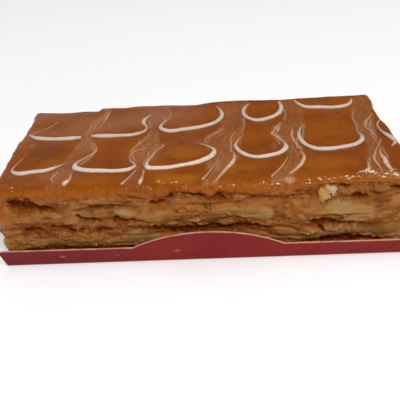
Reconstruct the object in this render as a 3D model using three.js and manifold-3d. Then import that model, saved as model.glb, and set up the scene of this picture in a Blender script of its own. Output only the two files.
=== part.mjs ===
// Mille-feuille slice in its folded card tray.
//
// Three sheets of puff pastry hold two layers of pastry cream. A caramel glaze covers the top
// sheet and carries two rows of piped icing that a knife has feathered into loops.
//
// Millimetres, +Z up. The origin is the middle of the tray's underside, +X runs along the
// slice and the side with the card's printed wall faces -Y.

import * as THREE from "three";
import { mergeVertices } from "three/addons/utils/BufferGeometryUtils.js";
import Module from "manifold-3d";

const wasm = await Module();
wasm.setup();

// ---- Driving dimensions -------------------------------------------------------------------

const SLICE = { length: 129, depth: 59, corner: 2.5, columns: 98 };
const CARD = { thickness: 0.5, length: 131, foldY: 31.2, wallHeight: 8, lean: 0.335 };
const ARCH = { middleX: 1.2, halfChord: 23.6, rise: 7.5, segments: 24 };
const END_FLARE = 1; // each wall is this much longer at its rim than at its fold
const GAP = 0.3; // left between one solid and the next

// The stack, from the card up. Rows are the bands of relief round a layer's edge, and reach is
// how far the relief stands in and out.
const LAYERS = [
  { name: "bottom_pastry", kind: "pastry", thickness: 5.0, rows: 5, reach: 0.35, seed: 3 },
  { name: "lower_cream", kind: "cream", thickness: 5.3, rows: 3, reach: 0.7, seed: 11 },
  { name: "middle_pastry", kind: "pastry", thickness: 4.3, rows: 5, reach: 1.0, seed: 19 },
  { name: "upper_cream", kind: "cream", thickness: 6.0, rows: 3, reach: 0.7, seed: 27 },
  { name: "top_pastry", kind: "pastry", thickness: 4.8, rows: 5, reach: 1.0, seed: 35 },
];
const GLAZE = { name: "caramel_glaze", thickness: 2.6, seed: 43, sag: 0.35 };
const GLAZE_TOP_RINGS = [0.84, 0.5]; // rings across the glazed face, as shares of its edge

const SEAM_WAVE = 0.7; // how far the seams between layers rise and fall
const OUTLINE_WAVE = 0.5; // how far each layer wanders in plan
const SEAM_RIM = 3.5; // width of the rim in which a seam keeps the height of its outline point
const SHEETS = { hollow: -0.75, proud: 0.45, ragged: 0.65 }; // shares of a pastry layer's reach
const END_LEAN = 0.8; // the layers under the top sheet stand out this far at the left end
const TORN_BACK = { depth: 2.6, untilX: -39, blend: 2.5 }; // the glazed sheet's short back corner
const CRAGS = { perLayer: 14, long: 3.2, high: 0.75, out: 1.3 };

// A knife drawn from the front rim to the back rim leaves a channel. Each entry gives the x of
// its two edges at five stations: front rim, front row, between the rows, back row, back rim.
// The rows give the y of the piped line where it meets the channel's left and right edge.
const CHANNELS = [
  { left: null, right: [-60, -60.5, -59.6, -62, -55], frontRow: [0, -19], backRow: [0, 6] },
  {
    left: [-47, -47, -44.5, -42.5, -38],
    right: [-42, -41, -36.5, -39, -35.5],
    frontRow: [-18, -18.5],
    backRow: [4.8, 5.3],
  },
  {
    left: [-23.5, -21.2, -24, -19.4, -20.5],
    right: [-18.5, -17.7, -14.5, -14.8, -12],
    frontRow: [-20.3, -19.5],
    backRow: [5.4, 7],
  },
  {
    left: [0.5, 4.6, 0.8, 7.6, 6.4],
    right: [4.5, 11.8, 14.4, 16, 18.5],
    frontRow: [-16.5, -15.2],
    backRow: [10.5, 13],
  },
  {
    left: [21.5, 28.4, 25, 30.4, 30.6],
    right: [27.5, 33.6, 36.5, 37.8, 36.5],
    frontRow: [-14.8, -11.3],
    backRow: [15.5, 22.5],
  },
  {
    left: [50, 54.8, 54, 57, 58.5],
    right: [57.8, 62, 63, 63, 63],
    frontRow: [-10, -8],
    backRow: [22.3, 22],
  },
];
const ICING = { width: 1.9, height: 0.75, sink: 1.1, arm: 8, bend: 1.9, segments: 14 };
const TAIL = { width: 1.3, height: 0.5, sink: 1.25, endY: -27.5, segments: 5 };
const BEAD = { crown: 0.55, tip: 0.35, taper: 0.6 }; // share of its width on top and at its tips
const STATION_END = 29; // |y| of the stations at the two rims

// ---- Smooth unevenness --------------------------------------------------------------------

// A fraction from 0 to 1 that looks random and depends on n alone.
function fraction(n) {
  const s = Math.sin(n) * 43758.5453;
  return s - Math.floor(s);
}

// Unevenness from -1 to 1: six plane waves of random heading, from one to about half a wavelength.
function unevenness(x, y, seed, wavelength) {
  const waves = 6;
  let sum = 0;
  for (let i = 0; i < waves; i++) {
    const heading = 2 * Math.PI * fraction(seed * 12.9898 + i * 78.233);
    const phase = 2 * Math.PI * fraction(seed * 39.346 + i * 11.135);
    const k = (2 * Math.PI * (1 + 0.17 * i)) / wavelength;
    sum += Math.sin(k * (x * Math.cos(heading) + y * Math.sin(heading)) + phase);
  }
  return THREE.MathUtils.clamp(sum / waves / 0.6, -1, 1);
}

function smoothstep(edge0, edge1, x) {
  const t = THREE.MathUtils.clamp((x - edge0) / (edge1 - edge0), 0, 1);
  return t * t * (3 - 2 * t);
}

// ---- The slice's outline ------------------------------------------------------------------

// Points evenly spaced round the rounded rectangle, anticlockwise. Each has an outward direction,
// and the directions fan out round a corner so that a ring moved inward never crosses itself.
function outline() {
  const x = SLICE.length / 2;
  const y = SLICE.depth / 2;
  const r = SLICE.corner;
  const shape = new THREE.Shape();
  shape.moveTo(-x + r, -y);
  shape.lineTo(x - r, -y);
  shape.absarc(x - r, -y + r, r, -Math.PI / 2, 0, false);
  shape.lineTo(x, y - r);
  shape.absarc(x - r, y - r, r, 0, Math.PI / 2, false);
  shape.lineTo(-x + r, y);
  shape.absarc(-x + r, y - r, r, Math.PI / 2, Math.PI, false);
  shape.lineTo(-x, -y + r);
  shape.absarc(-x + r, -y + r, r, Math.PI, 1.5 * Math.PI, false);
  const core = new THREE.Vector2(x - SEAM_RIM - 0.5, y - SEAM_RIM - 0.5);
  const coreCorner = core.clone().negate();
  const points = shape.getSpacedPoints(SLICE.columns).slice(0, SLICE.columns);
  return points.map((p) => {
    const outward = p.clone().sub(p.clone().clamp(coreCorner, core)).normalize();
    return { x: p.x, y: p.y, nx: outward.x, ny: outward.y };
  });
}

const OUTLINE = outline();

// How far forward the torn back corner of the glazed sheet moves a point.
function tornBack(x, y) {
  const across = 1 - smoothstep(TORN_BACK.untilX - TORN_BACK.blend, TORN_BACK.untilX, x);
  return TORN_BACK.depth * across * smoothstep(0.4, 1, (2 * y) / SLICE.depth);
}

// How far the seam over layer number k rises or falls at an outline point.
function seamRise(k, p) {
  return k < 0 ? 0 : SEAM_WAVE * unevenness(p.x, p.y, 50 + 7 * k, 26);
}

// A ring of points moved out from the outline by offset(p), at height(p, x, y). Torn says how
// much of the torn back corner it takes, from 0 to 1.
function ring(offset, height, torn = 0) {
  return OUTLINE.map((p) => {
    const out = offset(p);
    const x = p.x + p.nx * out;
    const whole = p.y + p.ny * out;
    const y = whole - torn * tornBack(x, whole);
    return new THREE.Vector3(x, y, height(p, x, y));
  });
}

// The solid between rings listed from the bottom up, with a fan closing each end. The last strip
// is cut along the other diagonal, so that it runs level with the first strip of the layer above.
function ringSolid(rings) {
  const count = rings[0].length;
  const middle = (points) =>
    points.reduce((sum, p) => sum.add(p), new THREE.Vector3()).divideScalar(points.length);
  const vertices = [...rings.flat(), middle(rings[0]), middle(rings.at(-1))];
  const bottom = vertices.length - 2;
  const top = vertices.length - 1;
  const lastRing = (rings.length - 1) * count;
  const faces = [];
  for (let i = 0; i < count; i++) {
    const j = (i + 1) % count;
    faces.push(bottom, j, i, top, lastRing + i, lastRing + j);
    for (let r = 0; r < rings.length - 1; r++) {
      const low = r * count;
      const high = low + count;
      if (low + count === lastRing) faces.push(low + i, low + j, high + i, low + j, high + j, high + i);
      else faces.push(low + i, low + j, high + j, low + i, high + j, high + i);
    }
  }
  const geometry = new THREE.BufferGeometry().setFromPoints(vertices);
  return geometry.setIndex(faces);
}

// ---- Joining with manifold-3d -------------------------------------------------------------

function solid(geometry) {
  const bare = geometry.clone();
  bare.deleteAttribute("normal");
  bare.deleteAttribute("uv");
  const merged = mergeVertices(bare, 1e-4);
  return new wasm.Manifold(
    new wasm.Mesh({
      numProp: 3,
      vertProperties: new Float32Array(merged.getAttribute("position").array),
      triVerts: new Uint32Array(merged.index.array),
    }),
  );
}

function join(base, additions) {
  let joined = solid(base);
  for (const piece of additions) joined = joined.add(solid(piece));
  const mesh = joined.getMesh();
  const geometry = new THREE.BufferGeometry();
  geometry.setAttribute("position", new THREE.BufferAttribute(mesh.vertProperties, 3));
  geometry.setIndex(new THREE.BufferAttribute(mesh.triVerts, 1));
  geometry.computeVertexNormals();
  return geometry;
}

// ---- Pastry and cream ---------------------------------------------------------------------

// How far layer number k leans out at an outline point.
function endLean(k, p) {
  return k < LAYERS.length - 1 ? END_LEAN * Math.max(0, -p.nx) : 0;
}

// Pastry edges go in and out from one sheet to the next. Cream bulges between its two seams.
function edgeRelief(layer, k, row, p) {
  const share = row / layer.rows;
  const wander = OUTLINE_WAVE * unevenness(p.x, p.y, layer.seed, 34);
  if (layer.kind === "cream") {
    const bulge = Math.sin(Math.PI * share) * (0.6 + 0.5 * unevenness(p.x, p.y, layer.seed + 1, 17));
    return endLean(k, p) + wander + layer.reach * (bulge - 0.5);
  }
  const sheet = row % 2 === 0 ? SHEETS.hollow : SHEETS.proud;
  const ragged = SHEETS.ragged * unevenness(p.x, p.y, layer.seed + 2 + row, 9);
  return endLean(k, p) + Math.min(wander, 0.3) + layer.reach * (sheet + ragged);
}

// Short lens-shaped crags that stand out of a pastry edge, spread round it by the golden ratio.
function crags(layer, k, floor) {
  const golden = 0.618034;
  return Array.from({ length: CRAGS.perLayer }, (_, i) => {
    const turn = ((i + fraction(layer.seed)) * golden) % 1;
    const p = OUTLINE[Math.floor(turn * OUTLINE.length)];
    const size = 0.7 + 0.6 * fraction(layer.seed + 5.1 * i);
    const crag = new THREE.OctahedronGeometry(1);
    crag.scale(CRAGS.long * size, CRAGS.out * size, CRAGS.high * size);
    crag.rotateZ(Math.atan2(p.ny, p.nx) - Math.PI / 2 + 0.25 * (fraction(i * 3.7) - 0.5));
    const seamLevel = (seamRise(k - 1, p) + seamRise(k, p)) / 2;
    const z = floor + seamLevel + layer.thickness * (0.4 + 0.2 * fraction(layer.seed * 1.7 + i));
    const out = endLean(k, p) - 0.5;
    crag.translate(p.x + out * p.nx, p.y + out * p.ny, z);
    return crag;
  });
}

function foodLayer(layer, k, floor) {
  const low = floor + GAP / 2;
  const high = floor + layer.thickness - GAP / 2;
  const torn = k === LAYERS.length - 1 ? 1 : 0;
  const rings = [ring(() => -SEAM_RIM, (p) => low + seamRise(k - 1, p))];
  for (let row = 0; row <= layer.rows; row++) {
    const share = row / layer.rows;
    const height = (p) => THREE.MathUtils.lerp(low + seamRise(k - 1, p), high + seamRise(k, p), share);
    rings.push(ring((p) => edgeRelief(layer, k, row, p), height, share * torn));
  }
  rings.push(ring(() => -SEAM_RIM, (p) => high + seamRise(k, p), torn));
  const bare = ringSolid(rings);
  return layer.kind === "pastry" && k > 0 ? join(bare, crags(layer, k, floor)) : join(bare, []);
}

// ---- Glaze and icing ----------------------------------------------------------------------

const GLAZE_FLOOR = CARD.thickness + GAP / 2 + LAYERS.reduce((sum, l) => sum + l.thickness, 0);
const GLAZE_TOP = GLAZE_FLOOR + GLAZE.thickness;

// The glazed face is not quite level.
function glazeHeight(x, y) {
  return GLAZE_TOP - GLAZE.sag + GLAZE.sag * unevenness(x, y, GLAZE.seed, 47);
}

// The glazed sheet: a rounded rim over the pastry below, then the shallow hills of its top.
function glazeSheet() {
  const wander = (p) => OUTLINE_WAVE * unevenness(p.x, p.y, GLAZE.seed + 1, 21);
  const under = (p) => GLAZE_FLOOR + GAP / 2 + seamRise(LAYERS.length - 1, p);
  const rim = [
    { out: -SEAM_RIM, share: 0 },
    { out: -0.7, share: 0 },
    { out: 0.35, share: 0.35 },
    { out: 0.1, share: 0.8 },
    { out: -1.2, share: 1 },
  ];
  const rings = rim.map(({ out, share }, i) =>
    ring(
      (p) => out + (i === 0 ? 0 : wander(p)),
      (p, x, y) => THREE.MathUtils.lerp(under(p), glazeHeight(x, y), share),
      1,
    ),
  );
  const topEdge = rings.at(-1);
  for (const scale of GLAZE_TOP_RINGS) {
    const shrunk = topEdge.map((p) => p.clone().multiplyScalar(scale));
    rings.push(shrunk.map(({ x, y }) => new THREE.Vector3(x, y, glazeHeight(x, y))));
  }
  return ringSolid(rings);
}

// The y of a channel's five stations along one of its edges.
function stations(channel, side) {
  const front = channel.frontRow[side];
  const back = channel.backRow[side];
  return [-STATION_END, front, (front + back) / 2, back, STATION_END];
}

function smoothCurve(points) {
  return new THREE.CatmullRomCurve3(points, false, "centripetal");
}

// The channel's edge as a smooth curve, on its left (side 0) or its right (side 1).
function channelEdge(channel, side) {
  const xs = side === 0 ? channel.left : channel.right;
  return smoothCurve(stations(channel, side).map((y, i) => new THREE.Vector3(xs[i], y, 0)));
}

// The point of a channel's edge at a given y.
function edgePoint(channel, side, y) {
  const ys = stations(channel, side);
  const level = THREE.MathUtils.clamp(y, ys[0], ys.at(-1));
  const next = Math.max(1, ys.findIndex((station) => station >= level));
  const share = (level - ys[next - 1]) / (ys[next] - ys[next - 1]);
  const point = channelEdge(channel, side).getPoint((next - 1 + share) / (ys.length - 1));
  return new THREE.Vector3(point.x, level, 0);
}

// The arm of a loop along one edge of a channel, from its bend at the row to its tip.
function loopArm(channel, side, rowName) {
  const { arm, bend } = ICING;
  return [bend, arm / 2, arm].map((rise) => edgePoint(channel, side, channel[rowName][side] + rise));
}

// A loop of icing: down the right edge of one channel, along the row, up the left edge of the next.
// Past the last channel the line runs out over the slice's right end.
function loopPath(from, to, rowName) {
  const left = loopArm(from, 1, rowName).reverse();
  const startY = from[rowName][1];
  if (!to) return smoothCurve([...left, new THREE.Vector3(SLICE.length / 2 - 1, startY - 1, 0)]);
  const right = loopArm(to, 0, rowName);
  const start = new THREE.Vector3(left.at(-1).x + ICING.bend, startY, 0);
  const end = new THREE.Vector3(right[0].x - ICING.bend, to[rowName][0], 0);
  return smoothCurve([...left, start, end, ...right]);
}

// A bead of icing along a path: a trapezium sunk into the glaze, narrower towards both ends.
function bead(path, { width, height, sink }, segments) {
  const vertices = [];
  const faces = [];
  for (let i = 0; i <= segments; i++) {
    const t = i / segments;
    const middle = path.getPointAt(t);
    const along = path.getTangentAt(t);
    const share = BEAD.tip + (1 - BEAD.tip) * Math.sin(Math.PI * t) ** BEAD.taper;
    const half = (width / 2) * share;
    const level = glazeHeight(middle.x, middle.y);
    const top = level + height * share;
    const base = level - sink;
    const at = (side, z) =>
      new THREE.Vector3(middle.x - along.y * side, middle.y + along.x * side, z);
    const crown = half * BEAD.crown;
    vertices.push(at(-half, base), at(half, base), at(crown, top), at(-crown, top));
    if (i === segments) break;
    for (let k = 0; k < 4; k++) {
      const a = 4 * i + k;
      const b = 4 * i + ((k + 1) % 4);
      faces.push(a, b, b + 4, a, b + 4, a + 4);
    }
  }
  const last = 4 * segments;
  faces.push(0, 3, 2, 0, 2, 1, last, last + 1, last + 2, last, last + 2, last + 3);
  return new THREE.BufferGeometry().setFromPoints(vertices).setIndex(faces);
}

function icing() {
  const beads = [];
  for (const rowName of ["frontRow", "backRow"]) {
    for (let c = 0; c < CHANNELS.length; c++) {
      const next = CHANNELS[c + 1];
      if (!next && rowName === "backRow") continue;
      const segments = next ? ICING.segments : Math.ceil(ICING.segments / 2);
      beads.push(bead(loopPath(CHANNELS[c], next, rowName), ICING, segments));
    }
  }
  for (const channel of CHANNELS.slice(2)) {
    const start = [3, -1, -5].map((step) => edgePoint(channel, 1, channel.frontRow[1] + step));
    const tail = smoothCurve([...start, edgePoint(channel, 1, TAIL.endY)]);
    beads.push(bead(tail, TAIL, TAIL.segments));
  }
  return beads;
}

// ---- The card tray ------------------------------------------------------------------------

// One wall in its own plane: straight, with a finger arch in the middle, longer at the rim.
function wallShape() {
  const foot = CARD.length / 2;
  const rim = foot + END_FLARE;
  const shape = new THREE.Shape();
  shape.moveTo(-foot, 0);
  shape.lineTo(foot, 0);
  shape.lineTo(rim, CARD.wallHeight);
  const radius = (ARCH.halfChord ** 2 + ARCH.rise ** 2) / (2 * ARCH.rise);
  const half = Math.asin(ARCH.halfChord / radius);
  const centreY = CARD.wallHeight + ARCH.rise - radius;
  shape.absarc(ARCH.middleX, centreY, radius, Math.PI / 2 - half, Math.PI / 2 + half, false);
  shape.lineTo(-rim, CARD.wallHeight);
  return shape;
}

function cardTray() {
  const wall = new THREE.ExtrudeGeometry(wallShape(), {
    depth: CARD.thickness,
    bevelEnabled: false,
    curveSegments: ARCH.segments,
  });
  wall.rotateX(Math.PI / 2 + CARD.lean);
  const inset = CARD.thickness * Math.cos(CARD.lean);
  const lift = CARD.thickness * Math.sin(CARD.lean);
  const front = wall.translate(0, inset - CARD.foldY, lift);
  const back = front.clone().rotateZ(Math.PI);
  const floor = new THREE.BoxGeometry(CARD.length, 2 * (CARD.foldY - inset / 2), CARD.thickness);
  floor.translate(0, 0, CARD.thickness / 2);
  return join(floor, [front, back]);
}

// ---- Assembly -----------------------------------------------------------------------------

const FINISH = {
  pastry: { color: 0xa8672e, roughness: 0.85 },
  cream: { color: 0xb98a4c, roughness: 0.55 },
  glaze: { color: 0x9a5420, roughness: 0.22 },
  card: { color: 0x84282c, roughness: 0.6 },
};

function piece(name, geometry, finish) {
  const material = new THREE.MeshStandardMaterial({ ...FINISH[finish], metalness: 0 });
  const mesh = new THREE.Mesh(geometry, material);
  mesh.name = name;
  return mesh;
}

const slice = new THREE.Group();
slice.add(piece("card_tray", cardTray(), "card"));
let floor = CARD.thickness + GAP / 2;
LAYERS.forEach((layer, k) => {
  slice.add(piece(layer.name, foodLayer(layer, k, floor), layer.kind));
  floor += layer.thickness;
});
slice.add(piece(GLAZE.name, join(glazeSheet(), icing()), "glaze"));

export default slice;
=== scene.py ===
"""Looks of the mille-feuille slice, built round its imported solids.

Flaky pastry edges, smeared cream, a caramel glaze with feathered icing, loose flakes and crumbs,
and the folded card tray. Shapes are worked out in millimetres, in the frame of the solids, and
written to the meshes in metres.
"""

import math

import bpy
import numpy as np
from bpy.props import FloatProperty, FloatVectorProperty, IntProperty, PointerProperty
from mathutils import Matrix


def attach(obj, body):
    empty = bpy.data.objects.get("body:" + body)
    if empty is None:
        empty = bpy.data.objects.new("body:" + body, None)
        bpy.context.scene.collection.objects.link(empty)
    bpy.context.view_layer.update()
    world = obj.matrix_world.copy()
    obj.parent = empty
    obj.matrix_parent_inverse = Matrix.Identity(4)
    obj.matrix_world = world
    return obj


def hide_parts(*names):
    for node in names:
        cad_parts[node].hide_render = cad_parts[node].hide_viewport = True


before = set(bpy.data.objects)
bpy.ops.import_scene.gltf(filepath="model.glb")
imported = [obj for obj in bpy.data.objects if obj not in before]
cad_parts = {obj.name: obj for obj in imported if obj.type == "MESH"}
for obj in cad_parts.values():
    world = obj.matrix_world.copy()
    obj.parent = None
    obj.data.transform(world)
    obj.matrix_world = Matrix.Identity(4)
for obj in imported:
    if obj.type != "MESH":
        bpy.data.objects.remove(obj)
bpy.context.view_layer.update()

bl_info = {
    "name": "Mille-Feuille Slice",
    "version": (1, 0, 0),
    "blender": (4, 5, 0),
    "location": "View3D > Sidebar > Mille-Feuille",
    "description": "Builds the pastry, cream, glaze, icing and card tray of one slice",
    "category": "Object",
}

MM = 0.001

# ---- The slice, in millimetres ------------------------------------------------------------------

HALF_LENGTH = 64.5
HALF_DEPTH = 29.5
CORNER = 2.5  # radius of the upright corners
FRONT_FACE_Y = -27  # what lies further forward than this belongs to the front
SEAM_RIM = 3.5  # how far a seam runs in from the outline before it is fanned to the middle
SEAM_WAVE = 0.7  # how far a seam rises and falls
FIRST_SEAM = 0.65  # height of the lowest seam
SEAM_LAP = 0.05  # how far neighbours overlap, so that no light shows between them
LEAF_PITCH = 1.1  # from one leaf of a pastry edge to the next
GLAZE_LEVEL = 28.3
GLAZE_SAG = 0.35
TORN_BACK = {"depth": 2.6, "until_x": -39, "blend": 1.2}

# The stack from the card up: name, kind, thickness and seed, as the solids have them.
LAYERS = (
    ("bottom_pastry", "pastry", 5.0, 3),
    ("lower_cream", "cream", 5.3, 11),
    ("middle_pastry", "pastry", 4.3, 19),
    ("upper_cream", "cream", 6.0, 27),
    ("top_pastry", "pastry", 4.8, 35),
)
TOP_LAYER = len(LAYERS) - 1
GLAZE_SEED = 43

# Hollows and cracks of the front face: depth and darkness, then x, z and half height along each.
# The darkness is painted shade, in the hollows and in the gap above the card's rim.
CRACKS = (
    (1.9, 0.92, ((-61, 23.0, 0.7), (-58.5, 22.9, 1.6), (-56, 22.7, 2.2), (-54, 22.5, 2.2),
        (-52.3, 21.9, 1.5), (-50.3, 21.1, 0.9), (-47.5, 21.0, 0.8), (-45.5, 20.9, 0.3))),
    (1.0, 0.7, ((-36, 20.8, 0.4), (-34, 21, 0.8), (-32, 21.1, 0.6), (-30, 21.4, 0.3),
        (-26, 20.9, 0.4), (-22.5, 20.9, 0.2))),
    (1.3, 0.95, ((-40.6, 18.1, 0.5), (-39.6, 17.6, 0.8), (-38.3, 16.6, 0.5), (-36, 16.1, 0.3),
        (-33, 15.7, 0.4), (-31.5, 15.5, 0.2))),
    (0.9, 0.75, ((-29.6, 15.4, 0.5), (-27.5, 15.7, 0.8), (-24.5, 15.1, 0.4), (-22, 15.4, 0.6),
        (-19.5, 15.1, 0.4), (-18.5, 14.8, 0.2))),
    (1.0, 0.9, ((-17, 21.8, 0.3), (-15.5, 22.1, 0.5), (-14, 21.7, 0.35), (-12.5, 22.2, 0.5),
        (-11.1, 21.8, 0.4))),
    (1.5, 0.85, ((-11.2, 22.9, 0.3), (-10.2, 23.8, 0.8), (-9.1, 24.3, 0.7), (-8.2, 24.8, 0.2))),
    (1.5, 0.68, ((-4.8, 24.8, 0.2), (-3, 24.4, 0.5), (-1.5, 24.2, 0.8), (0.2, 23.6, 1.1),
        (1, 22.9, 0.7), (1.8, 22.1, 0.3))),
    (1.8, 0.66, ((3.3, 22.2, 0.4), (4.6, 22.9, 1.0), (6, 22.8, 1.0), (7.2, 21.9, 0.6),
        (8.6, 21.1, 0.3))),
    (0.7, 0.6, ((9.5, 21, 0.25), (11, 21.3, 0.4), (13, 21.8, 0.3), (16, 22.3, 0.3),
        (20, 22.2, 0.4), (24.5, 22, 0.35), (28, 22.5, 0.45), (32, 22.6, 0.4), (35.5, 21.5, 0.25))),
    (1.4, 0.78, ((40.8, 25, 0.3), (43, 25.1, 0.6), (46.2, 24.5, 0.3))),
    (1.4, 0.95, ((45.2, 21.2, 0.3), (47.5, 21.2, 0.7), (50.5, 20.8, 0.6), (51.8, 20.6, 0.2))),
    (1.2, 0.7, ((56.5, 24.4, 0.3), (59, 23.8, 0.7), (63, 23.4, 0.4))),
    (0.8, 0.8, ((-58.3, 13.2, 0.4), (-55.5, 13.1, 0.9), (-53, 13.3, 1.0), (-51, 13.8, 0.5))),
    (1.0, 0.85, ((-49.2, 14.2, 0.4), (-47.8, 14.7, 0.6), (-46.3, 14.1, 0.5), (-44, 13.1, 0.6),
        (-42, 12.5, 0.7), (-40.5, 12.3, 0.4))),
    (1.0, 0.85, ((-40.2, 12, 0.4), (-39, 12.1, 0.7), (-37.7, 12.1, 0.3))),
    (1.2, 0.95, ((-35, 11.9, 0.4), (-33, 12.2, 0.6), (-30.5, 12.5, 0.7), (-28.7, 12.3, 0.3))),
    (1.1, 0.72, ((-18.5, 11.9, 0.5), (-15, 11.9, 0.8), (-11.5, 11.5, 1.0), (-9, 10.8, 1.1),
        (-5, 10.8, 1.2), (-1.5, 10.8, 1.2), (2, 11.2, 1.1), (6, 11.3, 1.0), (10, 11.5, 0.8),
        (13, 11.7, 0.7), (16, 11.4, 0.7), (18.5, 10.9, 0.6), (20, 10.2, 0.5), (22, 9.6, 0.2))),
    (0.6, 0.6, ((5, 14.6, 0.25), (7, 15.2, 0.3), (8.5, 14.7, 0.25), (9.8, 15.6, 0.35),
        (11.3, 15.1, 0.3), (12.5, 14.3, 0.3), (14, 13.9, 0.2))),
    (1.6, 0.95, ((33, 12.5, 0.4), (34.5, 11.8, 0.9), (36, 11.7, 1.0), (38, 11.8, 0.8),
        (42, 11.5, 0.45), (45.5, 11.3, 0.4), (48.5, 11.9, 0.2))),
    (1.4, 0.9, ((35.6, 10.8, 0.5), (37, 9.9, 0.8), (38, 8.9, 0.7), (38.9, 8.3, 0.3))),
    (0.7, 0.7, ((31.7, 14.1, 0.4), (33, 13.2, 0.6), (33.9, 12.5, 0.3))),
    (0.6, 0.6, ((-9.2, 18.5, 0.4), (-8.2, 18.1, 0.6), (-7.2, 17.4, 0.3))),
    (0.7, 0.45, ((14, 10.5, 0.5), (18, 9.7, 0.8), (21, 8.2, 0.7), (24, 6.6, 0.6), (28, 5.6, 0.5),
        (31, 5.1, 0.3))),
    (1.0, 0.8, ((-63, 5.0, 0.4), (-57, 5.2, 0.6), (-52, 5.3, 0.8), (-47, 5.3, 1.0),
        (-42, 5.0, 0.7), (-37, 4.7, 0.5), (-33, 4.8, 0.5), (-27, 4.9, 0.5), (-24.5, 5.0, 0.4),
        (-22.5, 5.1, 0.2))),
    (1.6, 1.0, ((31, 4.3, 0.3), (34, 4.4, 0.5), (38, 4.8, 0.9), (44, 4.9, 1.2), (50, 4.8, 1.15),
        (54, 4.5, 0.8), (57.5, 4.3, 0.3))),
)

# Patches of the front face: x, z, half width and half height; then how pale, how toasted and how
# orange they are, and how far they stand out.
PATCHES = (
    (-24.6, 18.3, 4.2, 1.6, 0.95, 0, 0, 0.2),
    (19, 15.8, 3.6, 2.3, 0.8, 0, 0, 0.2),
    (43.5, 16.6, 4.9, 3.3, 0.85, 0, 0, 0.15),
    (49, 14.8, 9, 2.8, 0.45, 0, 0, 0.15),
    (49, 20, 9, 1.2, 0, 0.55, 0, 0),
    (50, 24.3, 9, 1.0, 0, 0.5, 0.2, 0),
    (-21, 9.7, 6.5, 2.2, 0.45, 0.35, 0, 0.2),
    (26, 8.4, 4.2, 1.9, 0.45, 0.3, 0, 0.1),
    (61.5, 6, 2.6, 2.2, 0.5, 0, 0, 0),
    (-2.4, 14.5, 2, 1, 0.6, 0, 0.5, 0.6),
    (-56.5, 18, 7.4, 2.2, 0.02, 0, 0, 0.4),
    (-14, 17, 6, 2, 0.25, 0, 0, 0.1),
    (9, 17.0, 10, 2.4, 0.42, 0, 0.25, 0.4),
    (-45.5, 18.2, 1.6, 1, 0.3, 0, 0, 0.5),
    (-60, 14.6, 3, 0.9, 0.1, 0, 0, 0.2),
    (-55, 14.2, 5.5, 1.4, 0, 0.8, 0.1, -0.2),
    (-44, 14, 4.5, 1.3, 0, 0.6, 0.1, -0.1),
    (-58.5, 22.6, 3, 2.2, 0, 0.5, 0.8, -0.3),
    (54.6, 20.8, 4.4, 2.6, 0, 1.2, 0.15, -0.2),
    (58, 15.5, 4, 3, 0, 0.35, 0.5, 0),
    (53.5, 9.5, 5.5, 3.4, 0, 0.85, 0.1, 0),
    (-13, 11.8, 5.5, 1.2, 0, 0.7, 0.3, 0),
    (4, 11.2, 9, 1.4, 0, 0.8, 0, -0.3),
    (43.6, 23.1, 3.6, 1.4, 0.15, 0.3, 0, 0.6),
    (-31, 23, 6, 1, 0.1, 0.3, 0, 0.5),
    (-31, 10.6, 12, 1.8, 0, 0.6, 0, 0),
    (-52, 13.2, 11, 1.1, 0, 0.85, 0, 0),
    (30, 18.6, 10, 1.6, 0, 0.3, 0, 0),
    (-36, 15, 6.5, 1.4, 0.25, 0.25, 0, 0.2),
    (29.4, 16.9, 2.6, 2.0, 0, 0.35, 1.2, 0.1),
    (28, 13.9, 1.8, 1.0, 0, 0.6, 1.2, 0),
    (57.8, 5.9, 2.2, 1.8, 0, 0, 1, 0),
    (20.5, 20.5, 4, 0.9, 0, 0.2, 1, 0.1),
    (33, 8.7, 3.9, 1.7, 0.1, 0, 0.6, 0.9),
    (41.5, 9.8, 3.6, 1.3, 0.2, 0, 0.2, 0.8),
    (47.9, 9.6, 0.9, 2.4, 0.45, 0, 0, 0.5),
    (-5, 18.5, 5, 4.2, 0, 0, 0.6, 0.3),
    (-7.7, 21.7, 2.8, 2.6, 0.3, 0.1, 0, 0.8),
    (-39.8, 21.8, 2, 1.6, 0.4, 0, 0, 0.7),
    (-41.5, 15.6, 2.8, 1.2, 0.3, 0.2, 0, 0.6),
    (11, 22.5, 3, 1.1, 0.25, 0, 0.2, 0.6),
    (7, 18.5, 7.5, 2.6, 0.1, 0, 0.6, 0),
    (-40, 9.8, 9, 2.2, 0.1, 0.4, 0, 0.3),
    (-57, 9.5, 5, 1.6, 0.1, 0.25, 0, 0.3),
    (-54, 11.6, 9, 1.2, 0, 0.6, 0, 0),
    (-55, 20.5, 8, 1.0, 0, 0.5, 0.1, 0),
    (-31, 20.3, 12, 1.3, 0, 0.7, 0.1, 0),
    (-31, 15.6, 11, 1.0, 0, 0.95, 0.1, -0.2),
    (-52, 15.4, 11, 0.9, 0, 0.8, 0, 0),
    (-52, 21.9, 11, 2.3, 0, 0.85, 0.3, 0),
    (-10, 21.2, 9, 2.4, 0, 0.6, 0.5, 0),
    (-10, 10.9, 11, 1.2, 0, 1.0, 0, 0),
    (7, 10.6, 14, 1.2, 0, 1.0, 0, 0),
    (30, 11, 9, 1.1, 0, 0.9, 0, 0),
    (49, 21.4, 10, 1.6, 0, 0.75, 0.1, 0),
    (30, 22, 11, 2.4, 0, 0.5, 0.2, 0),
    (-50, 18.6, 12, 1.6, 0, 0.25, 0, 0),
    (-31, 18.8, 8, 1.4, 0, 0.45, 0, 0),
    # Painted light: these two wide pale strips brighten the front just above the card's rim.
    (-30, 8.0, 35, 1.5, 0.35, 0, 0, 0),
    (41, 7.9, 22, 1.6, 0.55, 0, 0, 0),
    (-62.6, 20.4, 2.2, 2.2, 0, 0.5, 0.8, 0),
    (55.5, 23.6, 3.4, 1.1, 0.2, 0.2, 0.2, 0.6),
    (29, 20, 6, 1.4, 0, 0.35, 0.1, 0.2),
)

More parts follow.
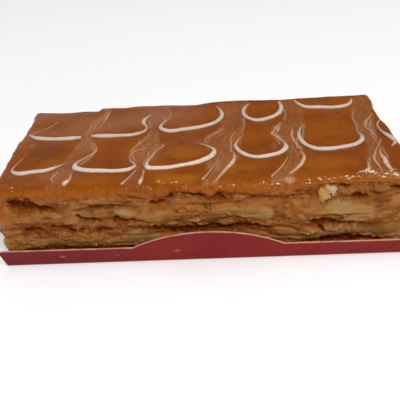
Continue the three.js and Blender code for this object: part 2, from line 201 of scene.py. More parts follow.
# The lower edge of the glazed skin on the front face: x and z.
FRONT_HEM = (
    (-66, 19.6), (-64.2, 19.8), (-62.6, 21.6), (-61, 24), (-59.5, 25.3), (-57, 25.7),
    (-54.3, 25.3), (-52.6, 24), (-51, 22.8), (-48, 22.6), (-45, 23.1), (-42, 23.6), (-38, 24),
    (-34, 24.4), (-28, 24.6), (-22, 24.4), (-17, 23.4), (-11, 24.1), (-9.3, 25.3), (-4, 25.2),
    (-0.5, 25), (0.8, 24.1), (2.3, 22.7), (3.6, 23.9), (5, 24.8), (8, 24.1), (14, 23.7),
    (20, 23.5), (28, 23.7), (33, 24.5), (36, 25.3), (42, 26), (46, 25.8), (52, 25.4), (58, 25.8),
    (64, 25.6),
)

# How far the back edge of the glazed skin stands out: x and distance.
BACK_EDGE = (
    (-64, 2.3), (-54, 1.3), (-46, 2.2), (-40, 1.5), (-38.5, 1.4), (-30, 0.5), (-24, 2.0),
    (-14, 2.6), (-2, 0.7), (8, 2.7), (16, 3.5), (24, 2.5), (32, 1.3), (40, 2.0), (50, 3.2),
    (62, 2.6),
)

# How far the left end leans out under the glaze: height and distance.
END_LEAN = (
    (4, 1.7), (6.2, 1.7), (8.4, 1.2), (10.6, 0.7), (12.6, 2.2), (15, 2.6), (18, 2.4), (21, 1.8),
    (25.5, 0.3),
)

# The rim of the glazed skin: how far it drops while it rolls over, how far it reaches out at the
# front, the back and the ends, how far it stands past the outline, and how much of its grid is
# left for what hangs below.
RIM = {"drop": 2.3, "front": 2.3, "back": 0.6, "end": 1.5, "proud": 0.35, "hang": 3.0}

# The skin's lower edge away from the front: its level, and its drop at the left front corner.
HEM = {"level": 24.6, "corner_drop": 4}

# How the skin ends below: its shortest hang, how far its lip and its inner wall lie inside the
# edge, the rise of the lip, and the level of the underside.
SKIRT = {"shortest": 0.3, "lip": 0.45, "wall": 0.7, "rise": 0.12, "underside": 26.3}

# Browner bands along the front: half height and strength, then x and level along each. The first
# two follow the baked sheets; the last two are painted shade, low above the card's rim and over
# the upper part of the front.
BANDS = (
    (1.1, 0.8, ((-64, 14.5), (-45, 13.8), (-31, 12.9), (-10, 11.7), (10, 11.4), (30, 11.1),
        (64, 10.8))),
    (1.6, 0.6, ((-64, 22), (-31, 21.3), (-10, 22.8), (10, 22.6), (30, 21.8), (64, 21.3))),
    (0.9, 0.3, ((-64, 5.5), (64, 5.0))),
    (2.4, 0.35, ((-64, 21.5), (64, 21.5))),
)

# A knife drawn across the icing leaves a channel: the x of its left and of its right edge at five
# stations from the front rim to the back rim, and the y of the front and of the back line at each
# edge. The first channel runs out at the slice's end.
CHANNELS = (
    (None, (-60, -60.5, -59.6, -62, -55), (0, -19), (0, 6)),
    ((-47, -47, -44.5, -42.5, -38), (-42, -41, -36.5, -39, -35.5), (-18, -18.5), (4.8, 5.3)),
    ((-23.5, -21.2, -24, -19.4, -20.5), (-18.5, -17.7, -14.5, -14.8, -12), (-20.3, -19.5),
        (5.4, 7)),
    ((0.5, 4.6, 0.8, 7.6, 6.4), (4.5, 11.8, 14.4, 16, 18.5), (-16.5, -15.2), (10.5, 13)),
    ((21.5, 28.4, 25, 30.4, 30.6), (27.5, 33.6, 36.5, 37.8, 36.5), (-14.8, -11.3), (15.5, 22.5)),
    ((50, 54.8, 54, 57, 58.5), (58.5, 60, 61.5, 63, 63), (-10, -8), (22.3, 22)),
)
STATION_END = 29
OPEN_EDGE = -70.0  # the x of a channel's missing edge

# Piped loops: x, y and share of the full width at each point that the icing passes through.
LOOPS = (
    ((-54, 20, 0.1), (-57, 14.5, 0.14), (-61, 10, 0.2), (-62, 8.3, 0.4), (-60, 6.4, 0.9),
        (-50, 4.6, 1), (-44.5, 4.9, 0.95), (-42.6, 5, 0.6)),
    ((-39.4, 5.6, 0.6), (-37.5, 5.3, 0.95), (-30, 4.6, 1), (-23.5, 5.3, 0.9), (-20.2, 8, 0.6),
        (-19.8, 11, 0.45), (-21.3, 14.5, 0.75), (-21, 18.5, 0.7), (-18.8, 23, 0.15)),
    ((-13.8, 28.5, 0.12), (-11.6, 23.5, 0.15), (-12.6, 17, 0.3), (-14.5, 12.5, 0.5),
        (-14.6, 9.5, 0.8), (-12, 7.2, 1), (-6, 8, 1), (0, 9.6, 1), (5.2, 12.8, 0.9),
        (7.8, 18, 0.8), (7.4, 23, 0.6), (5.5, 28, 0.12)),
    ((18.8, 29, 0.3), (16.8, 25, 0.6), (16, 20, 0.7), (17.4, 15.6, 0.9), (20.5, 13.3, 1),
        (25, 14.8, 0.95), (29, 18.6, 0.9), (30.6, 23.5, 0.8), (30.2, 28.5, 0.5)),
    ((36, 29.6, 0.3), (37.2, 26, 0.7), (39.4, 22.9, 0.95), (45, 22.3, 1), (51, 22.1, 1),
        (55.6, 23.6, 0.8), (57.8, 26.8, 0.55), (58.2, 29, 0.25)),
    ((-60, -9, 0.1), (-61.3, -13, 0.18), (-61.4, -17.3, 0.55), (-59, -19.2, 0.95), (-54, -18.8, 1),
        (-50, -18, 0.95), (-47, -15.6, 0.6), (-45, -13.4, 0.15)),
    ((-40, 3, 0.1), (-36.6, -2, 0.2), (-35.8, -5.5, 0.3), (-38.5, -9.5, 0.35), (-41.2, -13.6, 0.6),
        (-41, -16.6, 0.95), (-37.8, -18.6, 1), (-32, -19.6, 1), (-27, -20.2, 1),
        (-23.2, -19.6, 0.85), (-21.4, -17.6, 0.55), (-23.3, -13.5, 0.25), (-23.6, -9.5, 0.2),
        (-20.6, -6, 0.15), (-18.6, -5.4, 0.1)),
    ((-13.4, -2, 0.12), (-12.8, -4, 0.22), (-15, -7, 0.25), (-16.2, -11, 0.4), (-17.6, -16, 0.6),
        (-17.2, -18.9, 0.9), (-13, -19.6, 1), (-6, -18.3, 1), (0, -16.3, 1), (3.6, -13, 0.9),
        (4.4, -9.6, 0.7), (2.2, -6.4, 0.4), (-0.6, -4, 0.2)),
    ((14.8, 1.5, 0.12), (12.6, -2.5, 0.3), (11.6, -6.5, 0.65), (13.2, -11.5, 0.85), (17, -14.6, 1),
        (22, -14.1, 1), (26.2, -12.3, 0.95), (28.2, -9.2, 0.85), (28.2, -6.8, 0.5),
        (27.4, -4.8, 0.25)),
    ((36.8, 8, 0.12), (35, 4.2, 0.35), (33.8, 0, 0.6), (33.7, -4.5, 0.8), (35, -8.6, 0.9),
        (38, -11.7, 1), (42, -12, 1), (46, -11, 1), (51.6, -8.6, 0.95), (54.3, -5.2, 0.8),
        (54.7, -3, 0.6), (54.3, -0.8, 0.35), (53.7, 1.2, 0.1)),
    ((64.2, 9.2, 0.2), (62.8, 7, 0.3), (62, 4.6, 0.4), (62, 2, 0.45), (62.4, -0.6, 0.6),
        (63.2, -3, 0.8), (64, -5.6, 0.95), (64.6, -8, 0.8)),
    ((64.7, -7.4, 0.7), (64.2, -9, 0.6), (63, -10.6, 0.4), (62.2, -11.8, 0.12)),
)

# Icing that the knife dragged on towards the front rim, in the same three numbers.
DRAGGED = (
    ((-41.6, -20.5, 0.2), (-41.2, -24, 0.35), (-42.2, -27.6, 0.7), (-42, -28.4, 0.3)),
    ((-46.4, -20, 0.1), (-46.8, -22, 0.25), (-47.4, -24.4, 0.12)),
    ((-20.6, -19.6, 0.12), (-22.4, -24, 0.3), (-24.6, -28.3, 0.45)),
    ((-18.2, -20, 0.3), (-18.3, -24, 0.3), (-18.8, -28, 0.55), (-18.8, -28.8, 0.3)),
    ((4.6, -17.5, 0.1), (3, -22, 0.25), (0.2, -27.6, 0.4)),
    ((9, -8, 0.1), (10.8, -12, 0.25), (10.6, -16, 0.6), (8, -21.5, 0.6), (4.4, -28.6, 0.25)),
    ((28.2, -15, 0.1), (26, -20, 0.25), (21.4, -27.6, 0.4)),
    ((32.6, -12.6, 0.2), (33.2, -15.6, 0.5), (31.6, -20.5, 0.65), (27, -26.4, 0.35)),
    ((32.2, 5, 0.12), (31.8, 2, 0.35), (31.2, -1, 0.4), (31.4, -4, 0.42), (31.9, -7.6, 0.3),
        (32.6, -10.5, 0.3), (33.2, -12.6, 0.1)),
    ((29.2, 11.5, 0.1), (28, 9.4, 0.2), (27, 7, 0.35), (26.2, 5, 0.3), (25.6, 3, 0.15)),
    ((28.3, 8, 0.1), (27.6, 6, 0.4), (27, 4, 0.5), (26.6, 2.2, 0.15)),
    ((26, 4.6, 0.15), (24.9, 2.6, 0.35), (24.6, 1.4, 0.4), (25.2, -0.2, 0.3), (26, -1.6, 0.15)),
    ((26.8, 3, 0.1), (26.2, 1, 0.25), (26.6, -1, 0.3), (27, -2.6, 0.35), (27.6, -4.4, 0.3)),
    ((25.4, 1.6, 0.1), (25.9, -1, 0.4), (26.6, -2.8, 0.4), (27.4, -4.4, 0.4), (28.2, -6, 0.3)),
    ((52.2, -20.6, 0.1), (52, -22.6, 0.3), (51.8, -24.6, 0.5), (50.8, -26.4, 0.65),
        (48.6, -27.6, 0.3)),
    ((63.2, 15.4, 0.1), (61.2, 12, 0.25), (59.5, 9.6, 0.4), (58.2, 6.6, 0.4), (57.8, 4, 0.3),
        (58.5, 1.2, 0.3), (59.2, -1.2, 0.3), (59.5, -4, 0.15)),
    ((61, 10, 0.1), (60.2, 7.4, 0.2), (59.4, 4, 0.15)),
    ((60.8, -4.6, 0.12), (60, -7, 0.2), (58.6, -9.8, 0.2), (57, -13, 0.25), (55.6, -16.3, 0.35),
        (54.6, -19.8, 0.4), (54.9, -23, 0.35), (55.1, -25, 0.25), (54.8, -28.4, 0.2)),
    ((58.5, -11.8, 0.12), (57.8, -14.5, 0.3), (57.5, -17.2, 0.5), (57.9, -19.7, 0.7),
        (57.6, -22.2, 0.75), (57.8, -24.5, 0.7), (58, -26.4, 0.55), (57.4, -27.8, 0.35)),
    ((58, -26, 0.3), (58.8, -26.2, 0.3), (59.6, -26.4, 0.12)),
    ((-37.6, 12, 0.12), (-36.6, 18, 0.22), (-36, 22, 0.4), (-35.4, 28.6, 0.12)),
    ((-22, 2, 0.1), (-21.4, -0.5, 0.25), (-22.2, -3, 0.12)),
)

# Milky smears beside the channels: x, y, half width, half depth and strength.
SMEARS = (
    (26.9, 5.5, 1.5, 3.4, 2.2), (25.6, 1.5, 1.2, 2.4, 1.9), (26.8, -2.6, 1.2, 2.2, 1.8),
    (28, -5, 1, 1.6, 1.6), (59, 6.5, 1.2, 4, 1.4), (24.4, -8, 1.2, 2.4, 0.7),
    (3.4, -18, 2.2, 5, 0.8), (27, -28.6, 1.8, 1.2, 1.4), (58, -27, 2, 2, 1.0),
    (9.5, -19, 1.4, 4, 0.7), (-13.6, -3, 1.2, 1.6, 0.9), (-59.5, 0.5, 1.2, 2, 0.7),
    (-40.5, 1, 2.4, 4, 0.5), (3.5, 2, 2.4, 2, 0.5), (53, -21, 1.4, 5, 0.6),
)

# Stains in the glaze: x, y, half width, half depth, and how much darker or, below 0, how much
# brighter they are.
STAINS = (
    (-54.5, -5, 9, 7.5, 0.65), (-51, -2, 1.6, 1.8, 0.8), (-30, -14, 7, 3, 0.5),
    (-57, 2, 5, 3, 0.5), (-30, 24, 12, 4, 0.35), (-7, -2.5, 1, 1.4, 0.9),
    (-9.2, -14, 1.2, 0.9, 0.9), (5, -1, 3, 4, 0.5), (20.2, 5.2, 1.1, 1, 0.9),
    (13, -24, 2.2, 1.8, 0.6), (22, -6, 3, 5, 0.5), (40, -14.4, 6, 1.4, 0.5),
    (51, 17.5, 1.6, 1.2, 0.7), (25, 10, 3, 2, 0.4), (31, -23, 5, 3, 0.3), (-55, 11, 5, 2, -0.5),
    (-5, -10, 7, 5, -0.6), (43, 4, 8, 8, -0.25), (-35, -25, 14, 4, -0.5), (10, -21, 14, 4, -0.35),
    (40, -21, 13, 5, -0.5), (18, -1, 4, 4, -0.2), (-33, 9, 6, 3, -0.3), (62, -2, 3, 14, 0.4),
    (-6, -26, 9, 3.6, -0.95), (50, 19, 13, 9, -0.35), (-10, 14, 3, 6, -0.2),
)

# Chips stuck to the front: the outline's x and z, how far the outer face and the back stand out
# from the front, the thickness of its dome, and how white it is.
CHIPS = (
    (((36.1, 24.6), (35.5, 23), (36, 21.6), (35.6, 20.1), (36.6, 19.6), (37.3, 18.6), (38, 20.1),
      (39.5, 20.9), (39.4, 22.6), (39.6, 24), (37.8, 25)), 0.2, -0.8, 0.55, 0.0),
    (((38, 25.9), (37.4, 25.1), (38.4, 24), (38.8, 22.8), (39.8, 22.6), (39.9, 21.6), (40.6, 21.8),
      (41, 22.8), (41.3, 24.2), (40.5, 25.2), (39.2, 25.4)), 0.35, -0.8, 0.5, 0.85),
    (((-35.5, 6.9), (-35.4, 6.4), (-34.9, 6.5), (-34.8, 7), (-35.1, 7.4)), 0.7, -0.6, 0.3, 0.35),
)

# Specks on the front rim, bright grains that stand for painted glints: x, y, half length and how
# many.
GLINT_SPECKS = (
    (50.7, -27.3, 1.7, 60), (47, -28.8, 1.6, 14), (58.6, -28.5, 1.4, 22), (55, -28.8, 1.2, 5),
    (43, -29.2, 2, 7), (37, -29.5, 2.5, 8), (32.6, -29.5, 0.8, 9), (19, -29.3, 1.2, 8),
    (21, -29.5, 3, 7), (11, -29.4, 3.5, 5), (2, -28.6, 1.5, 5), (-13, -28.2, 2, 8),
    (-12, -28.4, 6, 8), (-57.5, -28.8, 1.6, 5),
)

# Heaps of crumbs on the front: x, z, half width, half height, how many and how large.
HEAPS = (
    (-8, 21.8, 2.6, 2.8, 12, 0.6), (-6, 24.2, 1.7, 1.3, 12, 0.75), (-4, 18.5, 4, 3.4, 8, 0.5),
    (-2.4, 14.9, 1.8, 1, 4, 0.6), (-42, 15.4, 3, 1.6, 5, 0.5), (-39.8, 22, 1.8, 1.6, 3, 0.6),
    (-25, 14.4, 5, 1.2, 9, 0.55), (2, 19.5, 3, 2.5, 5, 0.5), (9, 16.5, 4, 1.8, 6, 0.5),
    (11, 22.4, 3, 1, 4, 0.5), (55.5, 23.9, 3.4, 1.2, 4, 0.6), (43.4, 23.3, 3, 1.2, 4, 0.5),
    (33, 9, 3.4, 1.5, 5, 0.6), (41.5, 9.9, 3, 1.2, 4, 0.5), (-44, 10.5, 8, 2, 10, 0.5),
    (-58, 8.5, 5, 1.8, 4, 0.5), (-33, 9.6, 4, 1.8, 5, 0.5), (25, 14, 5, 2, 5, 0.5),
)

# The card. Its wall is measured up the slope and leans out by an angle in radians. It is longer
# at the rim by the flare, it bows, and the ends are out of line by the skew and the warp.
CARD = {
    "thickness": 0.5,
    "half_length": 65.5,
    "fold_y": 31.2,
    "wall": 7.8,
    "lean": 0.335,
    "flare": 1.0,
    "fold_radius": 0.9,
    "bow": 0.12,
    "skew": 0.45,
    "warp": 0.3,
}
ARCH = {"x": 1.2, "half_chord": 23.6, "rise": 7.5}

# Worn spots on the card: x, z, half width and half height.
SCUFFS = ((-46, 4.1, 1.3, 0.7), (-28.2, 3.9, 0.6, 0.5), (-8.9, 5.4, 1.3, 0.7))

# How much stronger the milky veil is at the front and at the back of the channels, in the first
# three and in the others, and how strong it is in the very first.
VEIL = {"left": (-0.55, -0.6), "right": (0.3, -0.3), "first": 0.25}

# The random places: the seeds, the steps between places on the sides, the levels, reach and sizes
# of the crumbs, and how much painted shade a hollow may have where a loose piece still lies.
ICING_SEED, FLAKE_SEED = 5, 12
PLACE_STEPS = (0.26, 0.4)
CRUMBS = {"levels": (5.5, 24.5), "reach": (-1.0, -0.3), "sizes": (0.2, 0.6)}
MOST_PAINTED_SHADE = 0.2

# Where a colour gathers: the middle and the half sizes of an ellipsoid.
FROST_SPOT = ((26.8, -29.6, 28.2), (2.6, 2.4, 1.9))
CAUGHT_SPOT = ((-14, -30, 26.6), (12, 4, 2.6))
# Painted light: the icing is brighter towards the front, where more light falls on it.
FRONT_LIT_ICING = ((0, -34, 28), (95, 34, 20))
# Painted glints: the grains on the rim are pale towards the right and amber further left.
PALE_GLINTS = ((50, -29, 28), (75, 25, 25))
SHADED_CARD = ((-66, -33, 3), (60, 30, 30))

# ---- Grids, in points or in millimetres from one to the next ------------------------------------

PASTRY_GRID = {"rows": 38, "front_step": 0.26, "other_step": 0.42}
CREAM_GRID = {"rows": 30, "front_step": 0.3, "other_step": 0.45}
SKIN_GRID = {"columns": 430, "rows": 205}
CARD_GRID = {"columns": 220, "wall_rows": 15, "fold_rows": 6}
BEAD_STEP = 0.3
FLAKE_GRID = {"rows": 4, "columns": 7}

# ---- The stage ----------------------------------------------------------------------------------

# The soft lights: name, place in metres, width and height, and whether they leave a reflection.
LIGHTS = (
    ("key", (0.42, -0.80, 1.20), (0.16, 0.16), True),
    ("front fill", (0.42, -0.80, 1.20), (1.0, 1.0), False),
    ("overhead", (-0.2, 0.2, 1.5), (2.2, 2.2), False),
    ("back left", (-0.45, 1.0, 0.30), (0.9, 0.42), True),
)

# The camera: its place in millimetres, and its yaw, pitch and roll in degrees.
CAMERA = {"place": (4.2, -174.5, 115.2), "turn": (-1.92, 32.7, -3.44), "sensor": 36, "near": 0.01}

# The floor, in metres, lies just under the card. Its own faint light stands for a bright room.
FLOOR = {"size": 3, "level": -0.0001, "glow": 0.26}

# Colours of the reflections on baked and on glazed pieces.
WARM_SHINE = (1.0, 0.8, 0.55)
AMBER_SHINE = (1.0, 0.9, 0.75)


# ---- Noise and easing ---------------------------------------------------------------------------


# Steps of the random sequence from one whole-number point to the next along x, y and z, and from
# one seed to the next.
LATTICE_STEPS = (12.71, 31.17, 7.43)
SEED_STEP = 5.3


def eased(edge0, edge1, x):
    """0 before edge0, 1 after edge1, and three t squared less two t cubed between them."""
    t = np.clip((x - edge0) / (edge1 - edge0), 0, 1)
    return t * t * (3 - 2 * t)


def in_ellipse(x, y, ellipse, outer, inner, frayed=0):
    """1 in the middle of an ellipse, which is its middle and half sizes, and 0 outside it: eased
    between two shares of the half sizes. Frayed is added to a point's own share."""
    middle_x, middle_y, half_x, half_y = ellipse
    away = np.hypot((x - middle_x) / half_x, (y - middle_y) / half_y)
    return eased(outer, inner, away + frayed)


def stronger(value, other):
    """Whichever of two numbers is further from 0."""
    return np.where(np.abs(other) > np.abs(value), other, value)


def fraction(n):
    """A number from 0 to 1 that looks random: what is left of 43758.5453 sin n after the point."""
    s = np.sin(n) * 43758.5453
    return s - np.floor(s)


def unevenness(x, y, seed, wavelength):
    """-1 to 1: the sum of six plane waves of random heading and phase. The numbers are those of
    the solids, so that both have the same waves."""
    total = 0
    for i in range(6):
        heading = 2 * np.pi * fraction(seed * 12.9898 + i * 78.233)
        phase = 2 * np.pi * fraction(seed * 39.346 + i * 11.135)
        k = 2 * np.pi * (1 + 0.17 * i) / wavelength
        total = total + np.sin(k * (x * np.cos(heading) + y * np.sin(heading)) + phase)
    return np.clip(total / 6 / 0.6, -1, 1)


def lattice(x, y, z, seed):
    """-1 to 1: a random number at each whole-number point, eased between its eight neighbours."""
    x, y, z = np.broadcast_arrays(x, y, z)
    cell = [np.floor(c) for c in (x, y, z)]
    share = [c - f for c, f in zip((x, y, z), cell)]
    share = [s * s * (3 - 2 * s) for s in share]
    total = np.zeros(x.shape)
    for corner in range(8):
        step = (corner & 1, corner >> 1 & 1, corner >> 2 & 1)
        weight = 1.0
        for s, d in zip(share, step):
            weight = weight * (s if d else 1 - s)
        place = sum((c + d) * k for c, d, k in zip(cell, step, LATTICE_STEPS))
        total += weight * fraction(place + seed * SEED_STEP)
    return 2 * total - 1


def rough(x, y, z, seed, octaves=3):
    """-1 to 1: lattice noise summed over octaves, each half as large and half as high."""
    total = 0
    for i in range(octaves):
        total = total + lattice(x * 2**i, y * 2**i, z * 2**i, seed + 17 * i) / 2**i
    return total / (2 - 2.0 ** (1 - octaves))


def billow(x, y, z, seed, octaves=2):
    """0 to 1: rounded lumps with soft creases between them: the root of lattice noise squared and
    a little more, summed over octaves."""
    total = 0
    for i in range(octaves):
        wave = lattice(x * 2**i, y * 2**i, z * 2**i, seed + 13 * i)
        total = total + (np.sqrt(wave**2 + 0.02) - 0.14) / 2**i
    return np.clip(total / (2 - 2.0 ** (1 - octaves)) * 1.9, 0, 1)


# ---- Meshes -------------------------------------------------------------------------------------


def quads(rows, columns, wrap=False, first=0):
    """The faces of a grid of points stored row by row. Wrap joins its last column to its first."""
    across = columns if wrap else columns - 1
    r, c = np.meshgrid(np.arange(rows - 1), np.arange(across), indexing="ij")
    d = (c + 1) % columns
    faces = [r * columns + c, r * columns + d, (r + 1) * columns + d, (r + 1) * columns + c]
    return first + np.stack(faces, -1).reshape(-1, 4)


def border(rows, columns):
    """The outer points of such a grid, in order round it."""
    ids = np.arange(rows * columns).reshape(rows, columns)
    return np.concatenate([ids[0, :-1], ids[:-1, -1], ids[-1, :0:-1], ids[:0:-1, 0]])


def fan(loop, centre, flip=False):
    """Triangles from each side of a closed loop of points to a centre point."""
    after = np.roll(loop, -1)
    pair = (after, loop) if flip else (loop, after)
    return np.stack([*pair, np.full(len(loop), centre)], -1)


def make_piece(
    name, points, faces, finish, replaces=(), attributes=None, sharp=None, smooth=None
):
    """A mesh from points in millimetres and arrays of faces, riding on the slice. The faces are
    shaded smooth, or only those of the first so many arrays, with edges sharper than an angle in
    degrees kept sharp. Attributes holds a number or a vector for each point."""
    mesh = bpy.data.meshes.new(name)
    corners = np.concatenate([f.ravel() for f in faces])
    sizes = np.concatenate([np.full(len(f), f.shape[1]) for f in faces])
    starts = np.concatenate([[0], np.cumsum(sizes)[:-1]])
    mesh.vertices.add(len(points))
    mesh.vertices.foreach_set("co", (points * MM).astype(np.float32).ravel())
    mesh.loops.add(len(corners))
    mesh.loops.foreach_set("vertex_index", corners.astype(np.int32))
    mesh.polygons.add(len(sizes))
    mesh.polygons.foreach_set("loop_start", starts.astype(np.int32))
    mesh.update(calc_edges=True)
    if mesh.validate():
        raise RuntimeError(f"{name} has faces that Blender had to mend")
    rounded = sum(len(f) for f in faces[:smooth])
    mesh.polygons.foreach_set("use_smooth", np.arange(len(sizes)) < rounded)
    for label, values in (attributes or {}).items():
        kind, field = ("FLOAT_VECTOR", "vector") if values.ndim == 2 else ("FLOAT", "value")
        layer = mesh.attributes.new(label, kind, "POINT")
        layer.data.foreach_set(field, values.astype(np.float32).ravel())
    if sharp:
        mesh.set_sharp_from_angle(angle=math.radians(sharp))
    mesh.materials.append(finish)
    piece = bpy.data.objects.new(name, mesh)
    bpy.context.scene.collection.objects.link(piece)
    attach(piece, "root")
    if replaces:
        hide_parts(*replaces)
    return piece


def smooth_path(knots, step):
    """Points every step along a cubic through the knots, and their distances along it. The slope
    at a knot is that of its neighbours' chord."""
    knots = np.array(knots, float)
    chord = np.hypot(*np.diff(knots[:, :2], axis=0).T)
    at = np.concatenate([[0], np.cumsum(chord)])
    slope = np.gradient(knots, at, axis=0)
    s = np.linspace(0, at[-1], max(4, int(at[-1] / step)))
    i = np.clip(np.searchsorted(at, s, side="right") - 1, 0, len(chord) - 1)
    h = chord[i][:, None]
    t = ((s - at[i]) / chord[i])[:, None]
    near = (1 + 2 * t) * (1 - t) ** 2 * knots[i] + t * (1 - t) ** 2 * h * slope[i]
    far = t**2 * (3 - 2 * t) * knots[i + 1] + t**2 * (t - 1) * h * slope[i + 1]
    return near + far, s


# ---- Outline and seams --------------------------------------------------------------------------


def outline(front_step, other_step):
    """Points round the rounded rectangle, anticlockwise from the front left, with their outward
    directions, which lead away from a core rectangle. Straight sides are even steps and each
    corner is a quarter circle."""
    cx, cy = HALF_LENGTH - CORNER, HALF_DEPTH - CORNER
    parts = []
    for side, (length, step) in enumerate(
        ((2 * cx, front_step), (2 * cy, other_step), (2 * cx, other_step), (2 * cy, other_step))
    ):
        along = np.arange(0, length, length / round(length / step)) - length / 2
        turn = np.linspace(0, np.pi / 2, 9)[:-1]
        half = length / 2
        reach = (cy if side % 2 == 0 else cx) + CORNER
        x = np.concatenate([along, half + CORNER * np.sin(turn)])
        y = np.concatenate([np.full(len(along), -reach), CORNER * (1 - np.cos(turn)) - reach])
        cos, sin = np.cos(side * np.pi / 2), np.sin(side * np.pi / 2)
        parts.append((x * cos - y * sin, x * sin + y * cos))
    x = np.concatenate([p[0] for p in parts])
    y = np.concatenate([p[1] for p in parts])
    core_x, core_y = HALF_LENGTH - SEAM_RIM - 0.5, HALF_DEPTH - SEAM_RIM - 0.5
    nx, ny = x - np.clip(x, -core_x, core_x), y - np.clip(y, -core_y, core_y)
    size = np.hypot(nx, ny)
    return x, y, nx / size, ny / size


def seam(k, x, y):
    """The height of the seam over layer k: its level, the solids' waves and two finer ones."""
    level = FIRST_SEAM + sum(thickness for _, _, thickness, _ in LAYERS[: k + 1])
    if k < 0:
        return np.full(np.shape(x), level)
    wave = SEAM_WAVE * unevenness(x, y, 50 + 7 * k, 26)
    fine = 0.3 * lattice(x / 4.3, y / 4.3, 3.7 * k, 61)
    fine = fine + 0.16 * lattice(x / 1.4, y / 1.4, 9 * k, 62)
    return level + wave + (0 if k == TOP_LAYER else fine)


def torn_back(x, y):
    """How far the torn back corner moves a point forward: an S-curve in x times one in y."""
    across = 1 - eased(TORN_BACK["until_x"] - TORN_BACK["blend"], TORN_BACK["until_x"], x)
    return TORN_BACK["depth"] * across * eased(0.4, 1, y / HALF_DEPTH)


def hem_height(x, y):
    """The height of the glazed skin's lower edge: the front's own line, level waves elsewhere."""
    ragged = 0.32 * lattice(x / 2.1, y / 2.1, 0, 71) + 0.22 * lattice(x / 0.8, y / 0.8, 0, 72)
    front = np.interp(x, *np.array(FRONT_HEM).T)
    other = HEM["level"] + 1.1 * lattice(x / 6, y / 6, 0, 73)
    other = other - HEM["corner_drop"] * eased(-60, -63, x) * eased(-8, -25, y)
    return ragged + other + (front - other) * on_front(y)


# ---- Relief of the side walls -------------------------------------------------------------------


def on_front(y):
    """1 on the front face and 0 on the other sides, eased over two millimetres."""
    return eased(FRONT_FACE_Y + 1, FRONT_FACE_Y - 1, y)


def end_lean(z, nx):
    """How far the left end leans out at a height, by how squarely a point faces that end."""
    return np.interp(z, *np.array(END_LEAN).T) * np.maximum(-nx, 0)


def cracks(x, y, z):
    """How deep the hollows are at each point, and how dark their painted shade is. Across a
    hollow's wandering line the depth is a flat-topped bell and the painted shade a softer, wider
    one, stronger under the hollow's upper lip where its shadow falls. Both follow the line's own
    half height, and a narrow line is also shallow."""
    deepest, painted_shade = np.zeros(np.shape(x)), np.zeros(np.shape(x))
    for i, (depth, dark, line) in enumerate(CRACKS):
        at, level, half = np.array(line).T
        middle = np.interp(x, at, level) + 0.3 * lattice(x / 1.7, i * 3.1, 0, 81)
        middle = middle + 0.15 * lattice(x / 0.8, z / 0.8, i * 1.9, 83)
        height = np.interp(x, at, half) * (1 + 0.4 * lattice(x / 1.3, i * 5.7, 0, 82))
        ends = eased(at[0] - 0.6, at[0] + 1.2, x) * eased(at[-1] + 0.6, at[-1] - 1.2, x)
        off = (z - middle) / np.maximum(height, 0.22)
        bell = depth * np.minimum(1, height / 0.8) * ends * np.exp(-(off**4))
        deepest = np.maximum(deepest, bell)
        # Painted shade: darker towards the hollow's upper lip, where the overhang throws its
        # shadow.
        lip = 0.84 + 0.22 * np.clip(off, -1, 1)
        painted_shade = np.maximum(painted_shade, dark * ends * lip * np.exp(-((np.abs(off) / 1.6) ** 2.4)))
    return deepest * on_front(y), painted_shade * on_front(y)


def heaped(x, z):
    """How crumbly the front is: 1 inside a heap's ellipse, falling to 0 a little outside it."""
    most = np.zeros(np.shape(x))
    for *heap, _, _ in HEAPS:
        most = np.maximum(most, in_ellipse(x, z, heap, 1.3, 0.5))
    return most


def tones(x, y, z):
    """How pale, toasted and orange each point is, and how far its patch stands out. The front has
    its own patches, each a soft ellipse with a frayed edge, and brown bands, each a bell across
    its wandering level, over weaker noise; the other sides have noise alone. Two of the bands are
    painted shade, and two wide pale patches just above the card's rim are painted light."""
    frayed = 0.3 * rough(x / 2.6, y / 2.6, z / 1.3, 91, 2)
    front = np.zeros((4, *np.shape(x)))
    for patch in PATCHES:
        inside = in_ellipse(x, z, patch[:4], 1.2, 0.5, frayed)
        for row, amount in zip(front, patch[4:]):
            row[:] = stronger(row, amount * inside)
    pale = eased(0.1, 0.5, lattice(x / 9, y / 9, z / 3.5, 92) + frayed)
    toast = 0.8 * eased(0.0, 0.5, lattice(x / 8, y / 8, z / 2.4, 93) + frayed)
    warm = 0.7 * eased(0.2, 0.6, lattice(x / 7, y / 7, z / 3.5, 94) + frayed)
    other = np.stack([0.6 * pale, toast * (1 - pale), warm * (1 - pale), 0.5 * (pale - toast)])
    band = np.zeros(np.shape(x))
    for half, strength, knots in BANDS:
        level = np.interp(x, *np.array(knots).T) + 0.6 * lattice(x / 9, 0, 7 * half, 95)
        across = np.exp(-(((z - level) / half) ** 2))
        across = across * (0.8 + 0.4 * lattice(x / 5, z / 3, half, 96))
        band = np.maximum(band, strength * across)
    # The bands darken the front as toast; the last two of them are painted shade.
    front[1] = np.maximum(front[1], np.maximum(band, 0.3 * toast) * (1 - front[0]))
    front[2] = np.maximum(front[2], 0.5 * warm * (1 - front[0]))
    return other + (front - other) * on_front(y)


